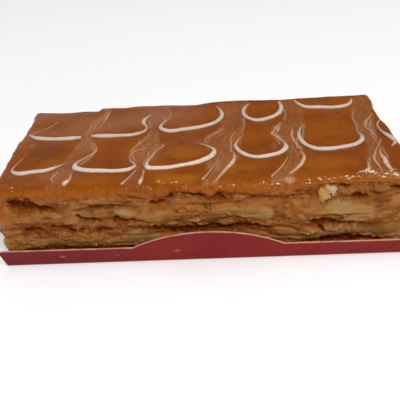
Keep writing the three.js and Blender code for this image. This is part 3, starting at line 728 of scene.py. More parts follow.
def pastry_relief(x, y, z, seed):
    """Out-standing of a pastry edge, how deep it is sunk, which sets the shade painted in its
    grooves and crevices, and how toasted. Rounded crumb and flat lumps lie on leaves of one pitch,
    whose height is warped by noise. Each leaf stands out by noise of its own, dips to a groove at
    its two faces, and falls back into a crevice where more noise says so. The front is moist: its
    leaves hardly show and its crumb is coarse and soft."""
    moist = on_front(y)
    warped = z + 0.7 * lattice(x / 13, y / 13, 0, seed)
    warped = warped + 0.5 * lattice(x / 4.1, y / 4.1, z / 5, seed + 1)
    warped = (warped + 0.15 * lattice(x / 1.3, y / 1.3, z / 1.5, seed + 2)) / LEAF_PITCH
    leaf = np.floor(warped)
    share = warped - leaf
    own = 0.55 * lattice(x / 6, y / 6, leaf * 7.31, seed + 3)
    own = own + 0.3 * lattice(x / 2.1, y / 2.1, leaf * 3.17, seed + 4)
    groove = 1 - eased(0.0, 0.32, np.minimum(share, 1 - share))
    opened = eased(0.15, 0.65, lattice(x / 5.5, y / 5.5, np.round(warped) * 5.71, seed + 5))
    groove = groove * (0.12 + 0.7 * opened) * (1 - 0.88 * moist)
    lumps = rough(x / 3.2, y / 3.2, warped / 1.6, seed + 6)
    soft_lumps = rough(x / 4.2, y / 4.2, z / 2.4, seed + 9, 2)
    lumps = lumps + (soft_lumps - lumps) * moist
    crumb = billow(x / 2.4, y / 2.4, z / 1.9, seed + 7)
    fine = billow(x / 1.3, y / 1.3, z / 1.1, seed + 12, 1)
    out = own * (1 - 0.8 * moist) + 0.6 * lumps + (0.3 + 0.35 * moist) * (crumb - 0.4) - groove
    out = out + 0.3 * moist * (fine - 0.4)
    # sunk is painted shade: darker in the grooves, in the hollows of the relief and between
    # crumbs.
    sunk = np.maximum(0.8 * groove, 0.5 * (1 - 0.6 * moist) * eased(-0.1, -1.1, out))
    sunk = np.maximum(sunk, 0.2 * moist * eased(0.25, 0.0, crumb))
    toast = 0.5 + 0.5 * lattice(x / 4.5, y / 4.5, leaf * 9.13, seed + 8) - 0.3 * lumps
    soft_toast = 0.4 + 0.35 * rough(x / 5, y / 5, z / 2, seed + 10, 2)
    return out, sunk, np.clip(toast + (soft_toast - toast) * moist, 0, 1)


def cream_relief(x, y, z, seed, pale):
    """Out-standing of a cream layer, how deep it is sunk, which sets the shade painted between its
    crumbs, and how much crumb is smeared on it. Broad swells and soft streaks run with the length,
    and crumbs stick where it isn't pale."""
    swell = 0.45 * lattice(x / 13, y / 13, z / 4, seed)
    streaks = 0.2 * rough(x / 5, y / 5, z / 1.5, seed + 1, 2)
    crumb = billow(x / 2.6, y / 2.6, z / 1.9, seed + 2)
    stuck = eased(-0.3, 0.4, rough(x / 7.5, y / 7.5, z / 2.4, seed + 3, 2) - 0.9 * pale + 0.1)
    fine = billow(x / 1.2, y / 1.2, z / 1.0, seed + 4, 1)
    out = swell + streaks + stuck * (0.7 * (crumb - 0.35) + 0.25 * (fine - 0.4))
    # Painted shade between the stuck crumbs.
    sunk = 0.25 * stuck * eased(0.3, 0.0, crumb)
    toast = 0.3 + 0.45 * rough(x / 5, y / 5, z / 1.6, seed + 5) + 0.2 * stuck * (1.1 - crumb)
    return out, sunk, np.clip(toast, 0, 1)


def layer_mesh(k, rows, columns):
    """A closed layer: its wall is the outline moved out by the relief, row by row between its two
    seams, and each end is a strip inward to the seam's rim and then a fan. On the front the relief
    eases into one noise that all layers share, near the seams and where the cream is pale, and
    its patches, hollows and heaps of crumbs are added. The left end leans out. The top sheet stays
    within the glazed skin that hangs over it, and its back corner is torn with it."""
    _, kind, _, seed = LAYERS[k]
    x, y, nx, ny = columns
    low, high = seam(k - 1, x, y) - SEAM_LAP * (k > 0), seam(k, x, y) + SEAM_LAP
    share = np.linspace(0, 1, rows)[:, None]
    z = low + (high - low) * share
    wander = 0.5 * unevenness(x, y, seed, 34)
    wx, wy = np.broadcast_to(x, z.shape), np.broadcast_to(y, z.shape)
    pale, toasted, warm, stand = tones(wx, wy, z)
    if kind == "pastry":
        out, sunk, toast = pastry_relief(wx, wy, z, seed)
        out = out + np.minimum(wander, 0.3) - 0.2
    else:
        out, sunk, toast = cream_relief(wx, wy, z, seed, pale)
        bulge = np.sin(np.pi * share) * (0.6 + 0.5 * unevenness(x, y, seed + 1, 17))
        out = out + wander + 0.7 * (bulge - 0.5)
    toast = np.clip(toast + toasted - 0.5 * pale, 0, 1.2)
    moist = on_front(wy)
    joined = 0.5 * rough(wx / 5, wy / 5, z / 3, 200, 2)
    at_seam = eased(1.2, 0.0, np.minimum(z - low, high - z)) * moist
    out = out + (joined - out) * np.maximum(at_seam, 0.7 * pale * moist)
    # dark is the shade painted in the hollows of the front.
    depth, dark = cracks(wx, wy, z)
    clods = billow(wx / 1.5, wy / 1.5, z / 1.2, 210) - 0.3
    out = out + 0.9 * stand - 0.5 * depth + end_lean(z, nx) + 0.9 * clods * heaped(wx, z) * moist
    sunk = sunk * (1 - 0.8 * pale)
    torn = share * (k == TOP_LAYER)
    if k == TOP_LAYER:
        under_skin = eased(0.3, 1.7, z - hem_height(x, y))
        out = np.minimum(out, 0.6 + end_lean(z, nx)) * (1 - under_skin) - 0.8 * under_skin
        # Painted shade under the glazed skin that hangs over the top sheet.
        sunk = np.maximum(sunk, 0.4 * under_skin)
    if k == 0:
        out = np.minimum(out, 0.9)
    out = np.maximum(out, 0.2 - SEAM_RIM)
    out = np.concatenate([np.full((1, len(x)), -SEAM_RIM), out, np.full((1, len(x)), -SEAM_RIM)])
    z = np.concatenate([low[None], z, high[None]])
    torn = np.concatenate([torn[:1], torn, torn[-1:]])
    px = x + nx * out
    py = y + ny * out
    py = py - torn * torn_back(px, py)
    points = np.stack([px, py, z], -1).reshape(-1, 3)
    centres = [[0, 0, low.mean()], [0, 0, high.mean()]]
    count = len(x)
    last = len(points) - count
    grid = quads(rows + 2, count, wrap=True)
    faces = [
        grid[count:-count],
        np.concatenate([grid[:count], grid[-count:]]),
        fan(np.arange(count), len(points), flip=True),
        fan(last + np.arange(count), len(points) + 1),
    ]
    tone = np.stack([pale, toast, warm], -1)
    tone = np.concatenate([tone[:1].reshape(-1, 3), tone.reshape(-1, 3), tone[-1:].reshape(-1, 3)])
    marks = {"tone": np.concatenate([tone, np.full((2, 3), 0.3)])}
    # The dark mark carries the hollows' painted shade, and sunk the painted shade of the crevices.
    for label, value in (("sunk", sunk), ("dark", dark)):
        marks[label] = np.concatenate([value[0], value.ravel(), value[-1], [0.5, 0.5]])
    return np.concatenate([points, centres]), faces, marks


# ---- Glaze and icing ----------------------------------------------------------------------------


def glaze_height(x, y):
    """The level of the glazed face: the solids' waves and a fainter, closer set."""
    level = GLAZE_LEVEL + GLAZE_SAG * unevenness(x, y, GLAZE_SEED, 47)
    return level + 0.05 * lattice(x / 5, y / 5, 0, 44)


def channel_edges(channel, y):
    """The x of a channel's two edges at y, between its stations."""
    *sides, fronts, backs = channel
    edges = []
    for side, front, back in zip(sides, fronts, backs):
        if side is None:
            edges.append(np.full(np.shape(y), OPEN_EDGE))
            continue
        stations = (-STATION_END, front, (front + back) / 2, back, STATION_END)
        knots, _ = smooth_path(list(zip(stations, side)), 0.5)
        edges.append(np.interp(y, knots[:, 0], knots[:, 1]))
    return edges


def milk_veil(x, y):
    """How milky the glaze is where the knife passed, and the place across and along the channel in
    millimetres. The veil, from 0 to 1, fills the channel, is thicker at its edges, and breaks up
    in streaks that follow it. The smears beside it reach above 1."""
    milk = np.zeros(np.shape(x))
    drag = np.stack([x, y * 0.15, np.zeros(np.shape(x))], -1)
    for i, channel in enumerate(CHANNELS):
        left, right = channel_edges(channel, y)
        frayed = 0.9 * rough(x / 2.5, y / 6, i * 1.7, 103, 2)
        inside = eased(-0.9, 0.9, x - left + frayed) * eased(0.9, -0.9, x - right - frayed)
        rim = eased(1.6, 0.2, np.abs(np.minimum(x - left, right - x) - 0.3))
        streak = rough((x - left) / 1.1, y / 7, i * 3.3, 101, 2)
        patch = 0.5 + 0.5 * lattice(y / 8, i * 2.7, 0, 102)
        strength = (0.55 + 0.35 * rim + 0.35 * streak) * (0.5 + 0.7 * patch)
        at_front, at_back = VEIL["left" if i < 3 else "right"]
        strength = strength * (1 + eased(-16, -24, y) * at_front) * (1 if i else VEIL["first"])
        strength = strength * (1 + eased(6, 12, y) * at_back)
        milk = np.maximum(milk, np.clip(inside * strength, 0, 1))
        across = np.stack([x - left, y * 0.12, np.full(np.shape(x), 7.0 * i)], -1)
        drag = np.where((inside > 0.01)[..., None], across, drag)
    smeared = rough(x / 1.6, y / 2.2, 0, 104)
    for *smear, amount in SMEARS:
        spot = in_ellipse(x, y, smear, 1.3, 0.3, 0.5 * smeared)
        milk = np.maximum(milk, amount * spot * (0.8 + 0.4 * smeared))
    return milk, drag


def bead_shadow_share(x, y):
    """Where to paint the shadow beside the piped loops: the share of a loop's width at its foot,
    and 0 a millimetre from it, by the distance to the nearest point of the loops' middle lines."""
    beside = np.zeros(x.shape)
    for knots in LOOPS:
        path, _ = smooth_path(knots, 0.5)
        low, high = path[:, :2].min(0) - 3, path[:, :2].max(0) + 3
        near = (x > low[0]) & (x < high[0]) & (y > low[1]) & (y < high[1])
        away = np.hypot(x[near][:, None] - path[:, 0], y[near][:, None] - path[:, 1])
        away = away - 0.9 * path[:, 2]
        share = np.clip(path[away.argmin(1), 2], 0, 1)
        beside[near] = np.maximum(beside[near], share * eased(1.1, 0.15, away.min(1)))
    return beside


def stains(x, y):
    """How much darker, or below 0 brighter, the glaze is: soft ellipses with a frayed edge."""
    total = np.zeros(x.shape)
    frayed = 0.35 * rough(x / 4, y / 4, 0, 141)
    for *stain, amount in STAINS:
        total = stronger(total, amount * in_ellipse(x, y, stain, 1.3, 0.3, frayed))
    return total


def skin_form(columns, rows):
    """The bare skin on a flat grid: its points, their outward headings, the angle that they have
    rolled by, and how far the edge still is below them. Past a core rectangle the skin rolls over
    a quarter ellipse and then hangs straight to the ragged hem. A point's overhang is the larger
    of its two parts past the rectangle, and its heading is theirs together."""
    fall = RIM["drop"]
    roll = fall * np.pi / 2
    spare = roll + RIM["hang"]
    cx = HALF_LENGTH + RIM["proud"] - RIM["end"]
    front_y = RIM["front"] - HALF_DEPTH - RIM["proud"]
    back_y = HALF_DEPTH + RIM["proud"] - RIM["back"]
    a = np.linspace(-cx - spare, cx + spare, columns)
    b = np.linspace(front_y - spare, back_y + spare, rows)
    a, b = np.meshgrid(a, b)
    core_x, core_y = np.clip(a, -cx, cx), np.clip(b, front_y, back_y)
    ox, oy = np.abs(a - core_x), np.abs(b - core_y)
    size = np.maximum((ox**5 + oy**5) ** 0.2, 1e-9)
    dx, dy = (a - core_x) / size, (b - core_y) / size
    reach_x, reach_y = dx * RIM["end"], dy * np.where(b < 0, RIM["front"], RIM["back"])
    over = np.maximum(ox, oy)
    top = glaze_height(core_x, core_y)
    hem = hem_height(core_x + reach_x, core_y + reach_y)
    hang = np.maximum(top - fall - hem, SKIRT["shortest"])
    over = np.where(over > roll, roll + (over - roll) / (spare - roll) * hang, over)
    angle = np.minimum(over / fall, np.pi / 2)
    straight = np.maximum(over - roll, 0)
    x, y = core_x + reach_x * np.sin(angle), core_y + reach_y * np.sin(angle)
    z = top - fall * (1 - np.cos(angle)) - straight
    return (x, y, z), (dx, dy), angle, hang - straight


def skin_bumps(x, y, z, angle, left, wet):
    """How far the skin's bumps stand out. Its flat part only ripples. Where it rolls over there
    are lumps, and beads where it is wet, and where it hangs it is lumpier and thins out at the
    hem."""
    hanging = eased(0.5, 1.3, angle)
    bumps = 0.35 * rough(x / 3.4, y / 3.4, z / 2.2, 111) * eased(0.1, 0.8, angle)
    bumps = bumps + 0.2 * (billow(x / 1.3, y / 1.3, z / 1.2, 112) - 0.5) * eased(0, 0.4, angle)
    beads = eased(0.1, 0.5, lattice(x / 0.8, y / 0.8, z / 0.8, 115))
    bumps = bumps + 0.22 * wet * beads * eased(0.0, 0.35, angle) * eased(1.3, 0.6, angle)
    bumps = bumps + 0.35 * (billow(x / 2.6, y / 2.6, z / 2.0, 114) - 0.5) * hanging
    bumps = bumps - 0.4 * eased(1.1, 0.0, left) * (angle > 1.57)
    ripple = 0.05 * rough(x / 1.1, y / 1.1, 0, 113, 2)
    return bumps + ripple * (1 - hanging) * (0.2 + eased(-20, -29, y))


def skin_reach(x, y, z):
    """How far the skin's ends, and then its back edge, reach past their even outline."""
    left = end_lean(z, -1) - 0.3 + 0.6 * eased(10, 0, y) + 0.8 * eased(26.5, 29, y)
    right = 0.2 + 1.0 * eased(20, 27, y) + 1.2 * eased(12, 5, y) * eased(-26, -12, y)
    back = np.interp(x, *np.array(BACK_EDGE).T) * eased(24, 29, y)
    return np.where(x < 0, left, right), back


def glaze_mesh(columns, rows):
    """The glazed skin: its form, moved out by its bumps and by the reach of its ends and its back,
    and moved down where the knife's channels are. A lip, a wall inside and a fan close it
    underneath."""
    (x, y, z), (dx, dy), angle, left = skin_form(columns, rows)
    milk, drag = milk_veil(x, y)
    hanging, rolling = eased(0.5, 1.3, angle), eased(0.1, 0.8, angle)
    wet = eased(-25, -5, x) * eased(-20, -29, y)
    sheet = skin_bumps(x, y, z, angle, left, wet) - 0.13 * milk * (1 - hanging)
    wander = 0.5 * unevenness(x, y, GLAZE_SEED + 1, 21) * hanging
    end, back = skin_reach(x, y, z)
    x = x + dx * (np.sin(angle) * sheet + wander + end)
    y = y + dy * (np.sin(angle) * sheet + wander + back)
    z = z + np.cos(angle) * sheet
    y = y - torn_back(x, y)
    points = np.stack([x, y, z], -1).reshape(-1, 3)
    edge = border(rows, columns)
    inward = -np.stack([dx, dy, 0 * dx], -1).reshape(-1, 3)[edge]
    lip = points[edge] + SKIRT["lip"] * inward + [0, 0, SKIRT["rise"]]
    wall = points[edge] + SKIRT["wall"] * inward
    wall[:, 2] = SKIRT["underside"]
    first, count = len(points), len(edge)
    points = np.concatenate([points, lip, wall, [[0, 0, SKIRT["underside"]]]])
    ring = np.concatenate([edge, first + np.arange(2 * count)])
    faces = [
        quads(rows, columns),
        ring[quads(3, count, wrap=True)][:, ::-1],
        fan(first + count + np.arange(count), first + 2 * count, flip=True),
    ]
    marks = {
        "milk": milk * (1 - 0.85 * hanging),
        # beside carries the painted shadow of the piped lines.
        "beside": bead_shadow_share(x, y) * (1 - rolling),
        "stain": stains(x, y),
        "hanging": hanging,
        "wet": wet * eased(0.0, 0.4, angle),
    }
    below = len(points) - first
    for label, values in marks.items():
        fill = np.full(below, 1.0 if label == "hanging" else 0.0)
        marks[label] = np.concatenate([values.ravel(), fill])
    marks["drag"] = np.concatenate([drag.reshape(-1, 3), np.zeros((below, 3))])
    return points, faces, marks


def bead_mesh(knots, width, height, seed):
    """A bead of icing along a path: a half ellipse of the path's own width on the glaze, and a
    flat sunk base. Width and height shrink with the share, the height more slowly, and the bead
    leans a little to one side or the other. The marks say how well it covers the glaze."""
    path, s = smooth_path(knots, BEAD_STEP)
    x, y, share = path.T
    share = np.clip(share, 0.14, 1.1) * (1 + 0.07 * lattice(s / 1.7, seed * 3.1, 0, 121))
    share[[0, -1]] *= 0.3
    ahead = np.gradient(path[:, :2], axis=0)
    ahead /= np.maximum(np.hypot(*ahead.T), 1e-9)[:, None]
    half = width / 2 * share
    rise = height * share**0.75
    arc = np.linspace(0, np.pi, 11)
    side = np.concatenate([np.cos(arc), [-0.7, 0.7]])
    up = np.concatenate([np.sin(arc) ** 0.8, [-0.35, -0.35]])
    lean = (0.18 * height * lattice(s / 6, seed * 1.7, 0, 122) * share)[:, None]
    px = x[:, None] - ahead[:, 1:] * side * half[:, None]
    py = y[:, None] + ahead[:, :1] * side * half[:, None]
    base = glaze_height(x, y)[:, None] - 0.02
    pz = base + np.where(up > 0, up * rise[:, None], up) + lean * side * (up > 0)
    points = np.stack([px, py, pz], -1).reshape(-1, 3)
    rows, columns = len(s), len(side)
    faces = quads(rows, columns, wrap=True)
    first, last = np.arange(columns), (rows - 1) * columns + np.arange(columns)
    ends = np.concatenate([fan(first, len(points), flip=True), fan(last, len(points) + 1)])
    tips = np.array([points[first].mean(0), points[last].mean(0)])
    cover = np.clip(share - 0.1, 0, 1)[:, None] * (0.25 + 0.75 * np.clip(up, 0, 1))
    return np.concatenate([points, tips]), faces, ends, np.append(cover, [0.1, 0.1])


def join_parts(parts):
    """One set of points, quads, triangles and marks from many, with the faces renumbered."""
    first = np.cumsum([0] + [len(part[0]) for part in parts])
    moved = [(p, four + n, three + n, m) for (p, four, three, m), n in zip(parts, first)]
    return tuple(np.concatenate(kind) for kind in zip(*moved))


def wisp_knots(rng):
    """Faint threads that the knife pulled along each channel. Every thread keeps its place
    across the channel, mostly near an edge, wavers by two waves, and thins out at both ends."""
    threads = []
    for channel in CHANNELS[1:]:
        for across in (0.02, 0.08, 0.7, 0.97):
            start = rng.uniform(-28, 16)
            y = np.linspace(start, min(start + rng.uniform(7, 18), 28.5), 12)
            left, right = channel_edges(channel, y)
            waver = 0.35 * np.sin(y * rng.uniform(0.3, 0.8) + rng.uniform(0, 6))
            waver = waver + 0.06 * np.sin(y * rng.uniform(2, 3) + rng.uniform(0, 6))
            share = rng.uniform(0.08, 0.2) * np.sin(np.linspace(0.2, np.pi - 0.2, 12))
            threads.append(np.stack([left + (right - left) * across + waver, y, share], -1))
    return threads


# ---- Flakes and crumbs --------------------------------------------------------------------------


def wall_places(rng, count, front_share):
    """Random places on the four sides, of which the front has its own share: x, y and the
    outward direction."""
    x, y, nx, ny = outline(*PLACE_STEPS)
    front = ny < -0.99
    weight = np.where(front, front_share / front.sum(), (1 - front_share) / (~front).sum())
    i = rng.choice(len(x), count, p=weight / weight.sum())
    return x[i], y[i], nx[i], ny[i]


def flake_mesh(rng, count):
    """Thin curled leaves of pastry: each is a half lens that grows out of the edge, bends up or
    down with the square of its reach, and has a ragged outer side and two faces. The upper sheets
    have twice as many as the lowest."""
    rows, columns = FLAKE_GRID["rows"], FLAKE_GRID["columns"]
    x, y, nx, ny = wall_places(rng, count, front_share=0.12)
    sheet = np.array([0, 2, 4, 4, 2])[rng.integers(0, 5, count)]
    z = np.empty(count)
    for k in (0, 2, 4):
        chosen = sheet == k
        low, high = seam(k - 1, x[chosen], y[chosen]), seam(k, x[chosen], y[chosen])
        highest = 0.8 if k == TOP_LAYER else 0.95
        z[chosen] = low + (high - low) * rng.uniform(0.05, highest, chosen.sum())
    kept = cracks(x, y, z)[1] < MOST_PAINTED_SHADE
    x, y, z, nx, ny = (values[kept][:, None, None] for values in (x, y, z, nx, ny))
    count = len(x)
    u = np.linspace(-1, 1, columns)[None, None, :]
    v = np.linspace(0, 1, rows)[None, :, None]

    def own(low, high):
        """A random number for each flake."""
        return rng.uniform(low, high, (count, 1, 1))

    def uneven(rows):
        """A random number from -1 to 1 for each point of each flake."""
        return rng.uniform(-1, 1, (count, rows, columns))

    length, reach = own(0.9, 2.9), own(0.35, 1.15)
    ragged = 1 + 0.35 * uneven(1) * v
    across = u * length * (1 - 0.25 * v * v) + 0.2 * uneven(rows) * v
    out = (v * reach * np.sqrt(np.maximum(1 - 0.8 * u * u, 0.05)) * ragged) - 0.75
    lift = own(-0.5, 0.5) * v * v + own(-0.22, 0.22) * u * length
    lift = lift + own(-0.3, 0.3) * u * u + 0.08 * uneven(rows)
    thick = 0.11 * (1 - 0.5 * v) * (1 - 0.6 * u * u)
    faces = []
    for sign in (1, -1):
        place = (x - ny * across + nx * out, y + nx * across + ny * out, z + lift + sign * thick)
        faces.append(np.stack(np.broadcast_arrays(*place), -1).reshape(count, rows * columns, 3))
    points = np.concatenate(faces, 1)
    half, whole = rows * columns, 2 * rows * columns
    top, edge = quads(rows, columns), border(rows, columns)
    after = np.roll(edge, -1)
    side = np.stack([after, edge, edge + half, after + half], -1)
    flake = np.concatenate([top[:, ::-1], top + half, side])[:, ::-1]
    first = (whole * np.arange(count))[:, None, None]
    marks = np.repeat(rng.uniform(0, 1, count), whole)
    return points.reshape(-1, 3), (first + flake[None]).reshape(-1, 4), marks


def ball_template(sides=8):
    """A round ball: three rings of points between two poles."""
    theta = np.linspace(0, np.pi, 5)[1:-1, None]
    phi = np.arange(sides)[None, :] * 2 * np.pi / sides
    ring = [np.sin(theta) * np.cos(phi), np.sin(theta) * np.sin(phi), np.cos(theta) + 0 * phi]
    points = np.concatenate([np.stack(ring, -1).reshape(-1, 3), [[0, 0, 1], [0, 0, -1]]])
    top, bottom = np.arange(sides), 2 * sides + np.arange(sides)
    triangles = [fan(top, 3 * sides), fan(bottom, 3 * sides + 1, flip=True)]
    return points, quads(3, sides, wrap=True)[:, ::-1], np.concatenate(triangles)


def crumb_mesh(rng, places, sizes, stretch=(1, 1, 1)):
    """Crumbs: balls with every point moved in or out at random, squashed and turned at random,
    and then stretched along the axes."""
    ball, four, three = ball_template()
    count, n = len(places), len(ball)
    lumps = ball[None] * (1 + 0.45 * rng.uniform(-1, 1, (count, n, 1)))
    lumps = lumps * rng.uniform(0.45, 1.2, (count, 1, 3)) * sizes[:, None, None]
    turn = rng.uniform(0, 2 * np.pi, (count, 1))
    x = lumps[..., 0] * np.cos(turn) - lumps[..., 1] * np.sin(turn)
    y = lumps[..., 0] * np.sin(turn) + lumps[..., 1] * np.cos(turn)
    points = np.stack([x, y, lumps[..., 2]], -1) * np.array(stretch) + places[:, None]
    first = (n * np.arange(count))[:, None, None]
    four, three = (first + four[None]).reshape(-1, 4), (first + three[None]).reshape(-1, 3)
    return points.reshape(-1, 3), four, three, np.repeat(rng.uniform(0.0, 0.6, count), n)


def heap_places(rng):
    """The crumbs of the heaps: a normal spread round each heap's middle, close to the front."""
    places, sizes = [], []
    for x, z, half_x, half_z, count, size in HEAPS:
        spread = rng.normal(0, 0.5, (count, 2)) * [half_x, half_z]
        y = rng.uniform(-29.9, -29.1, count)
        places.append(np.stack([x + spread[:, 0], y, z + spread[:, 1]], -1))
        sizes.append(size * rng.uniform(0.4, 1.0, count))
    return np.concatenate(places), np.concatenate(sizes)


def glint_places(rng):
    """Places on the rolled front rim round each cluster of specks, and their sizes: the height is
    the rim's quarter ellipse at that reach."""
    places, sizes = [], []
    for x, y, half, count in GLINT_SPECKS:
        px = x + half * rng.normal(0, 0.6, count)
        py = np.clip(y + 0.35 * rng.normal(0, 1, count), -29.7, -27)
        reach = np.clip((RIM["front"] - HALF_DEPTH - RIM["proud"] - py) / RIM["front"], 0, 1)
        pz = glaze_height(px, py) - RIM["drop"] * (1 - np.sqrt(1 - reach**2))
        places.append(np.stack([px, py, pz - 0.02], -1))
        sizes.append(rng.uniform(0.08, 0.3, count))
    return np.concatenate(places), np.concatenate(sizes)


def chip_mesh(knots, stand, back, dome, seed, rings=7):
    """A chip on the front: rings shrink from its frayed outline to its middle over an uneven dome,
    one less the square of the ring's share, and a flat back closes it inside the wall. The marks
    say how near its edge a point is."""
    edge = smooth_path([*knots, knots[0]], 0.2)[0][:-1]
    count = len(edge)
    middle = edge.mean(0)
    frayed = 1 + 0.12 * rough(edge[:, 0] / 0.6, edge[:, 1] / 0.6, 0, 160 + seed, 2)
    edge = middle + (edge - middle) * frayed[:, None]
    share = np.linspace(1, 0, rings + 1)[:-1, None]
    ring = middle + (edge - middle) * share[..., None]
    x, z = ring[..., 0], ring[..., 1]
    uneven = 0.35 * rough(x / 1.0, z / 1.0, 0, 150 + seed)
    y = -HALF_DEPTH - stand - dome * (1 - share**2) + uneven
    rear_y = -HALF_DEPTH - back
    rear = np.stack([edge[:, 0], np.full(count, rear_y), edge[:, 1]], -1)
    tips = [[middle[0], y[-1].mean(), middle[1]], [middle[0], rear_y, middle[1]]]
    points = np.concatenate([rear, np.stack([x, y, z], -1).reshape(-1, 3), tips])
    last = rings * count
    triangles = [
        fan(last + np.arange(count), last + count),
        fan(np.arange(count), last + count + 1, flip=True),
    ]
    edged = np.concatenate([np.ones(count), np.repeat(share.ravel(), count), [0, 1]])
    return points, quads(rings + 1, count, wrap=True), np.concatenate(triangles), edged


# ---- The card tray ------------------------------------------------------------------------------


def wall_height(x):
    """The wall's height up its slope: straight, with a circular arch in the middle."""
    radius = (ARCH["half_chord"] ** 2 + ARCH["rise"] ** 2) / (2 * ARCH["rise"])
    off = np.clip(np.abs(x - ARCH["x"]), 0, ARCH["half_chord"])
    return CARD["wall"] + np.sqrt(radius**2 - off**2) - (radius - ARCH["rise"])


def card_side(u, inset):
    """A face of the card that lies as deep as the inset under its outer one: y and z of its rows,
    and how far up the wall they are. From the rim come the wall, which bows, the fold, which is an
    arc, and across the floor the same again, turned half round."""
    lean, radius = CARD["lean"], CARD["fold_radius"]
    turn = np.pi / 2 - lean
    pull = radius * np.tan(turn / 2)
    share = np.linspace(1, 0, CARD_GRID["wall_rows"])[:, None]
    up = pull + (wall_height(u) - pull) * share
    bow = CARD["bow"] * lattice(u / 30, share, 0, 131) * share
    wall_y = -CARD["fold_y"] - up * np.sin(lean) + inset * np.cos(lean) + bow
    wall_z = up * np.cos(lean) + inset * np.sin(lean)
    heading = np.pi - lean + np.linspace(0, turn, CARD_GRID["fold_rows"] + 1)[1:, None]
    fold_y = -CARD["fold_y"] + pull + (radius - inset) * np.cos(heading) + 0 * u
    fold_z = radius + (radius - inset) * np.sin(heading) + 0 * u
    y, z = np.concatenate([wall_y, fold_y]), np.concatenate([wall_z, fold_z])
    up = np.concatenate([up, np.zeros(fold_y.shape)])
    signs = ((y, -1), (z, 1), (up, 1))
    return tuple(np.concatenate([v, sign * v[::-1, ::-1]]) for v, sign in signs)


def tray_mesh(columns):
    """The folded card: two faces, carried along x, whose walls are as high as the arch says there
    and longer at the rim than at the fold. Strips join the faces along the cut edge. The walls are
    a little askew, and lower towards the right end."""
    u = np.linspace(-CARD["half_length"], CARD["half_length"], columns)
    sides = []
    for inset in (0.0, CARD["thickness"]):
        y, z, up = card_side(u, inset)
        flare = CARD["flare"] / CARD["half_length"] * np.minimum(up / CARD["wall"], 1)
        sides.append(np.stack([u * (1 + flare), y, z], -1))
    half = len(up) // 2
    rim = up / (np.repeat([wall_height(u), wall_height(-u)], half, 0) + 1e-9)
    rows, count = len(up), up.size
    points = np.concatenate(sides).reshape(-1, 3)
    along = points[:, 0] / CARD["half_length"]
    points[:, 1] -= CARD["skew"] * along
    points[:, 2] -= CARD["warp"] * along * np.minimum(points[:, 2] / 5, 1)
    edge = border(rows, columns)
    after = np.roll(edge, -1)
    faces = [
        quads(rows, columns)[:, ::-1],
        quads(rows, columns, first=count),
        np.stack([edge, after, after + count, edge + count], -1),
    ]
    return points, faces, {"inside": np.repeat([0.0, 1.0], count), "rim": np.tile(rim.ravel(), 2)}


# ---- Materials ----------------------------------------------------------------------------------


